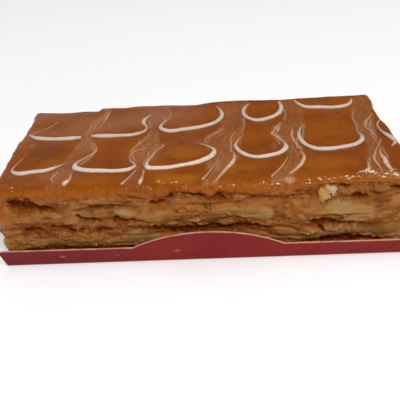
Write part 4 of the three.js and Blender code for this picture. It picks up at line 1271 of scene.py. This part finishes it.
class Finish:
    """A material and its Principled shader. Its methods add nodes and return their outputs."""

    def __init__(self, name, **settings):
        self.material = bpy.data.materials.new(name)
        self.material.use_nodes = True
        self.tree = self.material.node_tree
        self.shader = self.tree.nodes["Principled BSDF"]
        self.fill(self.shader, settings)
        place = self.add("TexCoord").outputs["Object"]
        self.place = self.stretched(place, (1 / MM,) * 3)
        self.turned = self.add("Mapping", Vector=self.place, Location=(31, 17, 53)).outputs[0]

    def put(self, socket, value):
        """Links an output to a socket, or sets the socket's value. A colour gets an alpha of 1."""
        if isinstance(value, bpy.types.NodeSocket):
            self.tree.links.new(value, socket)
        else:
            socket.default_value = (*value, 1) if socket.type == "RGBA" else value

    def fill(self, node, values):
        """Fills a node's inputs, which are named with underscores for spaces."""
        for label, value in values.items():
            self.put(node.inputs[label.replace("_", " ")], value)

    def add(self, kind, **values):
        """Adds a node and fills its inputs."""
        node = self.tree.nodes.new(f"ShaderNode{kind}")
        self.fill(node, values)
        return node

    def mark(self, label, output="Fac"):
        """A mesh attribute."""
        node = self.add("Attribute")
        node.attribute_name = label
        return node.outputs[output]

    def stretched(self, vector, scale):
        """A vector scaled along its three axes."""
        return self.add("Mapping", Vector=vector, Scale=scale).outputs["Vector"]

    def noise(self, size, detail=3, roughness=0.55, vector=None):
        """Noise with features of a size in millimetres."""
        at = vector or self.place
        node = self.add("TexNoise", Vector=at, Scale=1 / size, Detail=detail, Roughness=roughness)
        return node.outputs["Fac"]

    def cells(self, size):
        """Distance to the nearest of scattered points, a size in millimetres apart."""
        return self.add("TexVoronoi", Vector=self.place, Scale=1 / size).outputs["Distance"]

    def near(self, middle, halves):
        """1 at a point in millimetres, falling to 0 at the ellipsoid of the three half sizes."""
        place = self.add("Mapping", Vector=self.place, Location=middle, Scale=halves)
        place.vector_type = "TEXTURE"
        length = self.add("VectorMath", Vector=place.outputs["Vector"])
        length.operation = "LENGTH"
        return self.span(length.outputs["Value"], 1.0, 0.3)

    def span(self, value, low, high, to_low=0.0, to_high=1.0):
        """A value from low to high, eased to the range to_low to to_high and held beyond it."""
        ends = {"From_Min": low, "From_Max": high, "To_Min": to_low, "To_Max": to_high}
        node = self.add("MapRange", Value=value, **ends)
        node.interpolation_type = "SMOOTHSTEP"
        return node.outputs["Result"]

    def patchy(
        self, size, detail=3, roughness=0.55, turned=False, limits=(0.35, 0.65), to=(0.0, 1.0)
    ):
        """Noise whose middle range, between the limits, is spread over another range."""
        vector = self.turned if turned else self.place
        return self.span(self.noise(size, detail, roughness, vector), *limits, *to)

    def maths(self, operation, a, b):
        """One sum on two numbers."""
        node = self.add("Math")
        node.operation = operation
        self.put(node.inputs[0], a)
        self.put(node.inputs[1], b)
        return node.outputs[0]

    def times(self, a, b):
        """Two numbers multiplied."""
        return self.maths("MULTIPLY", a, b)

    def plus(self, a, b):
        """Two numbers added."""
        return self.maths("ADD", a, b)

    def blend(self, share, a, b):
        """Colour a where the share is 0 and b where it is 1. The colour sockets go by number,
        because those for numbers and vectors have the same names."""
        node = self.add("Mix", Factor=share)
        node.data_type = "RGBA"
        self.put(node.inputs[6], a)
        self.put(node.inputs[7], b)
        return node.outputs[2]

    def colour(self, value):
        """Sets the base colour."""
        self.put(self.shader.inputs["Base Color"], value)

    def roughness(self, value):
        """Sets how dull the surface is."""
        self.put(self.shader.inputs["Roughness"], value)

    def bump(self, height, depth):
        """Raises the surface by up to a depth in millimetres."""
        node = self.add("Bump", Height=height, Distance=depth * MM)
        self.put(self.shader.inputs["Normal"], node.outputs["Normal"])


def wall_finish(look, name, light, deep, size, dull, depth, **settings):
    """A cut side: a light colour into a deep one by how toasted it is, with mottling of a size,
    pale where it is smooth, orange and brown in patches, flecked, and darkened with painted shade
    in its crevices and hollows. Dull is the range of its roughness and depth that of its grain."""
    f = Finish(name, **settings)
    pale, toast, warm = f.add("SeparateXYZ", Vector=f.mark("tone", "Vector")).outputs
    toast = f.plus(toast, f.patchy(size, 4, limits=(0.3, 0.7), to=(-0.3, 0.3)))
    base = f.blend(f.span(toast, 0.0, 0.75), light, deep)
    base = f.blend(f.patchy(5, limits=(0.45, 0.65), to=(0, 0.65)), base, look.rosy)
    base = f.blend(f.patchy(4.1, turned=True, limits=(0.52, 0.7), to=(0, 0.45)), base, look.ochre)
    lighter = f.patchy(1.5, 3, 0.6, turned=True, limits=(0.5, 0.7), to=(0, 0.35))
    base = f.blend(lighter, base, light)
    # Toast also carries the bands of painted shade.
    base = f.blend(f.span(toast, 0.65, 1.25, 0, 0.9), base, look.toasted)
    base = f.blend(f.times(warm, 0.7), base, look.orange)
    # Pale also carries two wide strips of painted light above the card's rim.
    mottled = f.times(pale, f.patchy(2.2, limits=(0.3, 0.7), to=(0.65, 1.0)))
    base = f.blend(mottled, base, look.cream_pale)
    flecks = f.times(f.patchy(1.1, 3, 0.6, limits=(0.5, 0.72)), f.span(toast, 0, 0.8, 0.05, 0.45))
    base = f.blend(flecks, base, look.toasted)
    # Painted shade: the crevice colour where the wall is sunk, then the hollows' shade, soft at
    # their rims and darkest inside.
    base = f.blend(f.span(f.mark("sunk"), 0.05, 0.9), base, look.crevice)
    hollow = f.times(f.mark("dark"), f.patchy(1.1, 4, 0.6, limits=(0.3, 0.7), to=(0.6, 1.2)))
    base = f.blend(f.span(hollow, 0.02, 0.5, 0, 0.85), base, look.hollow_rim_shade)
    base = f.blend(f.span(hollow, 0.28, 0.78, 0, 0.95), base, look.hollow)
    f.colour(base)
    worn = f.patchy(1.3, to=dull)
    f.roughness(f.plus(worn, f.times(hollow, 0.3)))
    # Less shine where the hollows' shade is painted.
    f.put(f.shader.inputs["Specular IOR Level"], f.span(hollow, 0, 0.7, 0.22, 0.03))
    f.bump(f.noise(0.45, 4, 0.6), depth)
    return f.material


def pastry_finish(look):
    """Baked leaves, gold to brown."""
    return wall_finish(
        look,
        "baked pastry",
        light=look.pastry_gold,
        deep=look.pastry_brown,
        size=2.0,
        dull=(0.28, 0.65),
        depth=0.14,
        Specular_Tint=WARM_SHINE,
    )


def cream_finish(look):
    """Pastry cream with crumb smeared on it."""
    return wall_finish(
        look,
        "pastry cream",
        light=look.cream,
        deep=look.cream_deep,
        size=3.0,
        dull=(0.26, 0.5),
        depth=0.08,
        Specular_Tint=WARM_SHINE,
        Subsurface_Weight=0.12,
        Subsurface_Scale=0.0015,
    )


def glaze_finish(look):
    """Caramel glaze: clear amber with soft mottling and a few dark specks, milky in the knife's
    channels with fine threads that follow them, grainier where it hangs down the sides. Painted
    shadow darkens it beside the piped lines, and painted light lifts it where it hangs down the
    sides."""
    f = Finish("caramel glaze", Specular_IOR_Level=0.22, Specular_Tint=AMBER_SHINE)
    cloud = f.patchy(11, 3, 0.5)
    base = f.blend(cloud, look.amber_deep, look.amber)
    base = f.blend(f.patchy(2.4, 3, 0.6, limits=(0.5, 0.8), to=(0, 0.45)), base, look.amber_red)
    stain = f.mark("stain")
    base = f.blend(f.span(stain, 0.0, 1.0, 0, 0.85), base, look.stain)
    base = f.blend(f.span(stain, 0.0, -1.0, 0, 0.8), base, look.amber_bright)
    specks = f.times(f.span(f.cells(5.5), 0.075, 0.03), f.patchy(16, limits=(0.5, 0.6)))
    base = f.blend(f.times(specks, 0.6), base, look.crevice)
    threads = f.noise(0.8, 3, 0.6, vector=f.mark("drag", "Vector"))
    milk = f.times(f.mark("milk"), f.span(threads, 0.35, 0.65, 0.7, 1.2))
    dapple = f.noise(1.1, 4, 0.7, vector=f.stretched(f.turned, (1.0, 0.6, 1.0)))
    milk = f.times(milk, f.span(dapple, 0.36, 0.62, 0.35, 1.35))
    base = f.blend(f.times(milk, 0.68), base, look.milk)
    base = f.blend(f.span(milk, 1.0, 2.2, 0, 0.9), base, look.milk_thin)
    # Painted shadow of the piped lines on the glaze beside them.
    base = f.blend(f.times(f.mark("beside"), 0.7), base, look.foot)
    hanging = f.mark("hanging")
    grains = f.noise(0.35, 4, 0.7, vector=f.stretched(f.place, (1.0, 0.5, 0.5)))
    frost = f.times(f.near(*FROST_SPOT), f.span(grains, 0.42, 0.56))
    # Painted light: where the skin hangs down the sides it is lifted to a lighter amber, so that
    # the sides look as bright as the top.
    base = f.blend(f.times(hanging, 0.85), base, look.amber_side_lit)
    grain = f.times(hanging, f.patchy(1.6, 4, 0.65, limits=(0.45, 0.7), to=(0, 0.8)))
    base = f.blend(grain, base, look.amber_red)
    caught = f.patchy(1.6, 4, 0.65, turned=True, limits=(0.4, 0.6), to=(0.25, 0.85))
    caught = f.times(f.near(*CAUGHT_SPOT), caught)
    base = f.blend(caught, base, look.amber_red)
    paler = f.times(hanging, f.patchy(2.7, turned=True, limits=(0.5, 0.7), to=(0, 0.45)))
    base = f.blend(paler, base, look.amber_bright)
    f.colour(f.blend(frost, base, look.frost))
    dull = f.plus(f.span(f.mark("milk"), 0, 1, 0.18, 0.32), f.span(hanging, 0, 1, 0, 0.12))
    f.roughness(f.maths("SUBTRACT", dull, f.span(f.mark("wet"), 0, 1, 0, 0.08)))
    ripple = f.times(f.noise(3.0, 2, 0.5), 0.3)
    fine = f.times(f.noise(0.6, 3, 0.6), f.span(hanging, 0, 0.6, 0.06, 1.2))
    f.bump(f.plus(ripple, fine), 0.1)
    return f.material


def icing_finish(look):
    """White icing that lets the amber through where it is drawn out thin, with painted light that
    makes it brighter towards the front.
    """
    f = Finish(
        "white icing",
        Subsurface_Weight=0.3,
        Subsurface_Scale=0.0008,
        Subsurface_Radius=(1.0, 0.8, 0.6),
        Specular_IOR_Level=0.3,
    )
    thin = f.plus(f.mark("cover"), f.patchy(0.9, to=(-0.1, 0.1)))
    # Painted light: brighter icing towards the front.
    white = f.blend(f.near(*FRONT_LIT_ICING), look.icing, look.icing_front_lit)
    base = f.blend(f.span(thin, 0.12, 0.85), look.milk_thin, white)
    f.colour(f.blend(f.span(thin, 0.12, -0.1, 0, 0.75), base, look.milk))
    f.roughness(f.patchy(1.5, to=(0.28, 0.42)))
    f.bump(f.noise(1.2, 2, 0.5), 0.05)
    return f.material


def glint_grain_finish(look):
    """Grains on the rim whose bright colour is a painted glint. Some of them are clear enough to
    look amber.
    """
    f = Finish(
        "sugar grains", Subsurface_Weight=0.3, Subsurface_Scale=0.0005, Specular_IOR_Level=0.5
    )
    sugar = f.blend(f.near(*PALE_GLINTS), look.glint_amber, look.sugar)
    f.colour(f.blend(f.span(f.mark("cover"), 0.0, 0.4), look.amber_bright, sugar))
    f.roughness(f.patchy(0.5, to=(0.15, 0.35)))
    f.bump(f.noise(0.2, 3, 0.6), 0.03)
    return f.material


def flake_finish(look):
    """Loose leaves of pastry, each of its own shade."""
    f = Finish(
        "loose pastry", Subsurface_Weight=0.15, Subsurface_Scale=0.001, Specular_IOR_Level=0.2
    )
    shade = f.plus(f.mark("shade"), f.patchy(1.5, limits=(0.3, 0.7), to=(-0.2, 0.2)))
    f.colour(f.blend(f.span(shade, 0.0, 0.9), look.pastry_brown, look.flake_gold))
    f.roughness(f.patchy(0.8, to=(0.35, 0.6)))
    f.bump(f.noise(0.4, 3, 0.6), 0.06)
    return f.material


def chip_finish(look):
    """Chips of pastry, from yellow to nearly white."""
    f = Finish("pale chips", Subsurface_Weight=0.2, Subsurface_Scale=0.001, Specular_IOR_Level=0.2)
    white = f.plus(f.mark("white"), f.patchy(1.4, limits=(0.3, 0.7), to=(-0.3, 0.3)))
    base = f.blend(f.span(white, 0.0, 1.0), look.chip, look.chip_white)
    base = f.blend(f.patchy(1.0, 4, 0.6, limits=(0.5, 0.7), to=(0, 0.6)), base, look.pastry_gold)
    f.colour(f.blend(f.span(f.mark("edged"), 0.7, 1.0, 0, 0.65), base, look.pastry_gold))
    f.roughness(f.patchy(0.8, to=(0.3, 0.55)))
    f.bump(f.noise(0.5, 3, 0.6), 0.08)
    return f.material


def card_finish(look):
    """Printed card: red outside with a slight sheen, and painted shade towards its left end; pale
    inside and where it is cut, with a few scuffs on its rim."""
    f = Finish("printed card", Specular_IOR_Level=0.08)
    mottle = f.patchy(9)
    red = f.blend(mottle, look.card_red, look.card_red_deep)
    # Painted shade: the red is duller towards the left end.
    red = f.blend(f.near(*SHADED_CARD), red, look.card_shaded)
    scuffs = f.times(f.patchy(0.9, 4, 0.6, limits=(0.68, 0.74)), f.span(f.mark("rim"), 0.2, 1.0))
    red = f.blend(f.times(scuffs, 0.7), red, look.card_scuff)
    for x, z, half_x, half_z in SCUFFS:
        spot = f.times(f.near((x, -33, z), (half_x, 6, half_z)), f.patchy(0.5, limits=(0.3, 0.6)))
        red = f.blend(spot, red, look.card_scuff)
    pale = f.blend(f.patchy(0.3, limits=(0.4, 0.6), to=(0, 0.2)), look.card_inside, look.smear)
    f.colour(f.blend(f.mark("inside"), red, pale))
    f.roughness(f.patchy(2, to=(0.42, 0.55)))
    f.bump(f.noise(0.25, 3, 0.6), 0.02)
    return f.material


def cut_card_finish(look):
    """The card's cut edge: pale fibre, warmed by grease."""
    f = Finish("cut card")
    f.colour(f.blend(f.patchy(3), look.card_cut, look.card_cut_stained))
    f.roughness(f.patchy(0.4, to=(0.6, 0.8)))
    f.bump(f.noise(0.15, 2, 0.6), 0.03)
    return f.material


# ---- Settings -----------------------------------------------------------------------------------


def shade(name, description, value):
    """A colour, as linear red, green and blue."""
    return FloatVectorProperty(
        name=name, description=description, default=value, subtype="COLOR", size=3, min=0, max=1
    )


def distance(name, description, value):
    """A length, given in millimetres and kept in metres."""
    return FloatProperty(
        name=name, description=description, default=value * MM, unit="LENGTH", min=0, precision=4
    )


def power(name, description, value):
    """A light's power in watts."""
    return FloatProperty(name=name, description=description, default=value, unit="POWER", min=0)


class PastryLook(bpy.types.PropertyGroup):
    pastry_gold: shade("Gold", "Palest baked leaf", (0.42, 0.170, 0.040))
    pastry_brown: shade("Brown", "Well baked leaf", (0.25, 0.080, 0.015))
    toasted: shade("Toasted", "Darkest baked leaves and flecks", (0.15, 0.034, 0.004))
    orange: shade("Orange", "Glaze that ran over the cream", (0.42, 0.115, 0.008))
    rosy: shade("Rosy", "Pinkish crumb", (0.37, 0.142, 0.050))
    ochre: shade("Ochre", "Yellowish crumb", (0.38, 0.175, 0.025))
    # Crevice, hollow and hollow's rim are painted shade in the recesses of the sides.
    crevice: shade("Crevice", "Gaps between leaves and crumbs", (0.14, 0.030, 0.003))
    hollow: shade("Hollow", "Deep hollows of the front", (0.068, 0.009, 0.001))
    hollow_rim_shade: shade("Hollow's rim", "Where a hollow begins", (0.20, 0.046, 0.004))
    flake_gold: shade("Loose flakes", "Palest loose flake", (0.46, 0.20, 0.055))
    chip: shade("Chips", "Pale chips that hang on the front", (0.50, 0.27, 0.07))
    chip_white: shade("White chips", "Sugary chips on the front", (0.56, 0.39, 0.25))
    cream: shade("Cream", "Pastry cream", (0.42, 0.185, 0.040))
    cream_deep: shade("Deep cream", "Pastry cream with crumb in it", (0.28, 0.100, 0.018))
    cream_pale: shade("Pale cream", "Smooth patches of cream", (0.37, 0.235, 0.096))
    flakes: IntProperty(name="Flakes", description="Loose curled leaves", default=420, min=1)
    crumbs: IntProperty(name="Crumbs", description="Crumbs on the sides", default=420, min=1)


class GlazeLook(bpy.types.PropertyGroup):
    amber: shade("Amber", "Glaze where it is clear", (0.31, 0.078, 0.005))
    amber_deep: shade("Deep amber", "Glaze where it is thick", (0.25, 0.056, 0.004))
    amber_bright: shade("Bright amber", "Glaze where it is thin", (0.40, 0.125, 0.006))
    # The glazed edge is painted light: a lighter amber for the skin where it hangs.
    amber_side_lit: shade("Glazed edge", "Glaze where it hangs on the sides", (0.35, 0.092, 0.004))
    amber_red: shade("Caught glaze", "Glaze that browned more", (0.22, 0.042, 0.003))
    stain: shade("Stain", "Darker clouds in the glaze", (0.15, 0.042, 0.014))
    milk: shade("Milky glaze", "Icing drawn out thin over the glaze", (0.40, 0.20, 0.10))
    milk_thin: shade("Thin icing", "Icing where a line runs out", (0.54, 0.29, 0.155))
    icing: shade("Icing", "Piped icing", (0.68, 0.54, 0.455))
    # Bright icing is painted light on the front loops.
    icing_front_lit: shade("Bright icing", "Piped icing towards the front", (0.83, 0.66, 0.53))
    # Sugar and amber sugar are painted glints: bright grain colours that stand for the glints of
    # the wet rim.
    sugar: shade("Sugar", "Grains of sugared icing on the rim", (1.0, 0.80, 0.56))
    glint_amber: shade("Amber sugar", "Grains of sugared icing with caramel", (0.78, 0.45, 0.16))
    frost: shade("Frost", "Sugared spot on the front rim", (0.66, 0.46, 0.30))
    # The foot colour is painted shadow beside the piped lines.
    foot: shade("Foot of the lines", "Glaze close beside a piped line", (0.12, 0.058, 0.032))
    crevice: shade("Specks", "Dark specks in the glaze", (0.055, 0.013, 0.003))
    line_width: distance("Line width", "Full width of a piped line", 2.15)
    line_height: distance("Line height", "Height of a piped line over the glaze", 0.75)


class CardLook(bpy.types.PropertyGroup):
    card_red: shade("Red", "Printed face", (0.255, 0.014, 0.012))
    card_red_deep: shade("Deep red", "Printed face where it is darker", (0.225, 0.011, 0.011))
    # Dull red is painted shade towards the left end of the card.
    card_shaded: shade("Dull red", "Printed face towards the left end", (0.185, 0.013, 0.016))
    card_inside: shade("Inside", "Unprinted face", (0.60, 0.54, 0.46))
    card_cut: shade("Cut edge", "Edge of the card", (0.60, 0.33, 0.24))
    card_cut_stained: shade("Stained edge", "Greasy edge of the card", (0.46, 0.20, 0.12))
    card_scuff: shade("Scuffs", "Small worn spots", (0.45, 0.18, 0.17))
    smear: shade("Grease", "Faint stain inside the card", (0.45, 0.30, 0.16))


class StageLook(bpy.types.PropertyGroup):
    floor: shade("Floor", "Floor and backdrop", (0.80, 0.80, 0.80))
    world: shade("World", "Light from all round", (1.0, 0.98, 0.96))
    world_strength: FloatProperty(
        name="World strength", description="Brightness of the light all round", default=0.09, min=0
    )
    key: power("Key light", "Power of the small light above the front", 5.0)
    front_fill: power("Front fill", "Power of the soft light above the front", 13.0)
    overhead: power("Overhead light", "Power of the soft overhead light", 10.0)
    back_left: power("Back light", "Power of the low soft light behind", 0.5)
    lens: FloatProperty(
        name="Lens", description="Focal length for the sensor", default=50.2, unit="CAMERA", min=1
    )


# ---- Operators ----------------------------------------------------------------------------------


def make_layers(kind, ending, finish, rows, front_step, other_step):
    """Every layer of one kind, each in the place of its solid."""
    columns = outline(front_step, other_step)
    for k, (name, layer_kind, _, _) in enumerate(LAYERS):
        if layer_kind == kind:
            points, faces, marks = layer_mesh(k, rows, columns)
            make_piece(f"{name}_{ending}", points, faces, finish, [name], marks, smooth=1)


class MILLEFEUILLE_OT_pastry(bpy.types.Operator):
    """Build the three pastry sheets with their leaves and crevices"""

    bl_idname = "millefeuille.pastry"
    bl_label = "Pastry Sheets"

    def execute(self, context):
        finish = pastry_finish(context.scene.pastry_look)
        make_layers("pastry", "leaves", finish, **PASTRY_GRID)
        return {"FINISHED"}


class MILLEFEUILLE_OT_cream(bpy.types.Operator):
    """Build the two layers of pastry cream"""

    bl_idname = "millefeuille.cream"
    bl_label = "Cream Layers"

    def execute(self, context):
        finish = cream_finish(context.scene.pastry_look)
        make_layers("cream", "smooth", finish, **CREAM_GRID)
        return {"FINISHED"}


class MILLEFEUILLE_OT_glaze(bpy.types.Operator):
    """Build the glazed skin that rolls over the rims"""

    bl_idname = "millefeuille.glaze"
    bl_label = "Caramel Glaze"

    def execute(self, context):
        finish = glaze_finish(context.scene.glaze_look)
        points, faces, marks = glaze_mesh(**SKIN_GRID)
        make_piece("glazed_skin", points, faces, finish, ["caramel_glaze"], marks)
        return {"FINISHED"}


class MILLEFEUILLE_OT_icing(bpy.types.Operator):
    """Build the piped loops, the dragged ends and the faint threads of icing"""

    bl_idname = "millefeuille.icing"
    bl_label = "Feathered Icing"

    def execute(self, context):
        look = context.scene.glaze_look
        finish = icing_finish(look)
        width, height = look.line_width / MM, look.line_height / MM
        rng = np.random.default_rng(ICING_SEED)
        groups = (  # name, lines, width, height and how much less they cover
            ("icing_loops", LOOPS, width, height, 0),
            ("icing_drags", DRAGGED, width * 0.95, height * 0.55, 0),
            ("icing_threads", wisp_knots(rng), width * 1.5, height * 0.25, 0.18),
        )
        for name, lines, wide, high, faint in groups:
            parts = [bead_mesh(knots, wide, high, i) for i, knots in enumerate(lines)]
            points, *faces, cover = join_parts(parts)
            make_piece(name, points, faces, finish, (), {"cover": cover - faint})
        # Bright grains on the front rim, whose colour is painted glint.
        points, *faces, cover = crumb_mesh(rng, *glint_places(rng), stretch=(2.2, 0.9, 0.7))
        finish = glint_grain_finish(look)
        make_piece("icing_specks", points, faces, finish, (), {"cover": cover})
        return {"FINISHED"}


class MILLEFEUILLE_OT_flakes(bpy.types.Operator):
    """Scatter curled flakes and crumbs over the sides"""

    bl_idname = "millefeuille.flakes"
    bl_label = "Flakes and Crumbs"

    def execute(self, context):
        look = context.scene.pastry_look
        finish = flake_finish(look)
        rng = np.random.default_rng(FLAKE_SEED)
        points, faces, shades = flake_mesh(rng, look.flakes)
        make_piece("loose_flakes", points, [faces], finish, (), {"shade": shades})
        x, y, nx, ny = wall_places(rng, look.crumbs, front_share=0.5)
        z = rng.uniform(*CRUMBS["levels"], look.crumbs)
        out = rng.uniform(*CRUMBS["reach"], look.crumbs) + end_lean(z, nx)
        in_heaps, heap_sizes = heap_places(rng)
        places = np.concatenate([np.stack([x + nx * out, y + ny * out, z], -1), in_heaps])
        sizes = np.concatenate([rng.uniform(*CRUMBS["sizes"], look.crumbs), heap_sizes])
        kept = cracks(*places.T)[1] < MOST_PAINTED_SHADE
        points, *faces, shades = crumb_mesh(rng, places[kept], sizes[kept])
        make_piece("crumbs", points, faces, finish, (), {"shade": shades})
        chips = []
        for i, (*form, white) in enumerate(CHIPS):
            points, four, three, edged = chip_mesh(*form, i)
            chips.append((points, four, three, np.stack([edged, np.full(len(points), white)], -1)))
        points, *faces, marks = join_parts(chips)
        marks = {"edged": marks[:, 0], "white": marks[:, 1]}
        make_piece("pale_chips", points, faces, chip_finish(look), (), marks)
        return {"FINISHED"}


class MILLEFEUILLE_OT_tray(bpy.types.Operator):
    """Fold the card tray round the slice"""

    bl_idname = "millefeuille.tray"
    bl_label = "Card Tray"

    def execute(self, context):
        look = context.scene.card_look
        points, faces, marks = tray_mesh(CARD_GRID["columns"])
        piece = make_piece(
            "folded_card", points, faces, card_finish(look), ["card_tray"], marks, sharp=35
        )
        piece.data.materials.append(cut_card_finish(look))
        which = np.zeros(sum(len(f) for f in faces), np.int32)
        which[-len(faces[-1]) :] = 1
        piece.data.polygons.foreach_set("material_index", which)
        return {"FINISHED"}


class MILLEFEUILLE_OT_stage(bpy.types.Operator):
    """Set the floor, the soft lights, the world and the camera"""

    bl_idname = "millefeuille.stage"
    bl_label = "Stage"

    def execute(self, context):
        look = context.scene.stage_look
        scene = context.scene
        bpy.ops.mesh.primitive_plane_add(size=FLOOR["size"], location=(0, 0, FLOOR["level"]))
        floor = context.object
        floor.name = "floor"
        paper = Finish("floor paper", Roughness=1.0, Specular_IOR_Level=0.0)
        paper.colour(look.floor)
        paper.fill(paper.shader, {"Emission Color": (1, 1, 1), "Emission Strength": FLOOR["glow"]})
        floor.data.materials.append(paper.material)
        world = bpy.data.worlds.new("soft room")
        world.use_nodes = True
        background = world.node_tree.nodes["Background"]
        background.inputs["Color"].default_value = (*look.world, 1)
        background.inputs["Strength"].default_value = look.world_strength
        scene.world = world
        for name, place, size, shine in LIGHTS:
            area_light(name, place, size, getattr(look, name.replace(" ", "_")), shine)
        place_camera(look.lens)
        scene.view_settings.view_transform = "Standard"
        return {"FINISHED"}


def area_light(name, place, size, watts, shine):
    """A soft light that faces the slice. Without shine it leaves no reflection of its own."""
    data = bpy.data.lights.new(name, "AREA")
    data.shape = "RECTANGLE"
    data.energy = watts
    data.size, data.size_y = size
    lamp = bpy.data.objects.new(name, data)
    bpy.context.scene.collection.objects.link(lamp)
    lamp.location = place
    lamp.visible_glossy = shine
    toward = -lamp.location
    lamp.rotation_euler = toward.to_track_quat("-Z", "Y").to_euler()


def place_camera(lens):
    """The camera. Yaw and pitch give the way ahead, and roll turns the level axis and the one
    above it about that."""
    yaw, pitch, roll = (math.radians(a) for a in CAMERA["turn"])
    ahead = np.array(
        [math.sin(yaw) * math.cos(pitch), math.cos(yaw) * math.cos(pitch), -math.sin(pitch)]
    )
    level = np.array([math.cos(yaw), -math.sin(yaw), 0])
    above = np.cross(level, ahead)
    right = level * math.cos(roll) + above * math.sin(roll)
    up = above * math.cos(roll) - level * math.sin(roll)
    data = bpy.data.cameras.new("camera")
    data.lens = lens
    data.sensor_width = CAMERA["sensor"]
    data.clip_start = CAMERA["near"]
    camera = bpy.data.objects.new("camera", data)
    bpy.context.scene.collection.objects.link(camera)
    matrix = np.eye(4)
    matrix[:3] = np.stack([right, up, -ahead, np.array(CAMERA["place"]) * MM], -1)
    camera.matrix_world = Matrix(matrix.tolist())
    bpy.context.scene.camera = camera


# ---- Panel and registration ---------------------------------------------------------------------

OPERATORS = (
    MILLEFEUILLE_OT_stage,
    MILLEFEUILLE_OT_tray,
    MILLEFEUILLE_OT_pastry,
    MILLEFEUILLE_OT_cream,
    MILLEFEUILLE_OT_glaze,
    MILLEFEUILLE_OT_icing,
    MILLEFEUILLE_OT_flakes,
)
GROUPS = {
    "pastry_look": PastryLook,
    "glaze_look": GlazeLook,
    "card_look": CardLook,
    "stage_look": StageLook,
}


class MILLEFEUILLE_PT_slice(bpy.types.Panel):
    """Settings and build steps of the slice"""

    bl_idname = "MILLEFEUILLE_PT_slice"
    bl_label = "Mille-Feuille Slice"
    bl_space_type = "VIEW_3D"
    bl_region_type = "UI"
    bl_category = "Mille-Feuille"

    def draw(self, context):
        for operator in OPERATORS:
            self.layout.operator(operator.bl_idname)
        for group in GROUPS:
            box = self.layout.box()
            look = getattr(context.scene, group)
            for label in look.__annotations__:
                box.prop(look, label)


def register():
    """Registers the classes and hangs each group of settings on the scene."""
    for group in (*GROUPS.values(), *OPERATORS, MILLEFEUILLE_PT_slice):
        bpy.utils.register_class(group)
    for name, group in GROUPS.items():
        setattr(bpy.types.Scene, name, PointerProperty(type=group))


def unregister():
    """Takes back what register did."""
    for name in GROUPS:
        delattr(bpy.types.Scene, name)
    for group in (MILLEFEUILLE_PT_slice, *reversed(OPERATORS), *reversed(GROUPS.values())):
        bpy.utils.unregister_class(group)


def main():
    """Runs every step."""
    register()
    for operator in OPERATORS:
        group, step = operator.bl_idname.split(".")
        getattr(getattr(bpy.ops, group), step)()


if __name__ == "__main__":
    main()
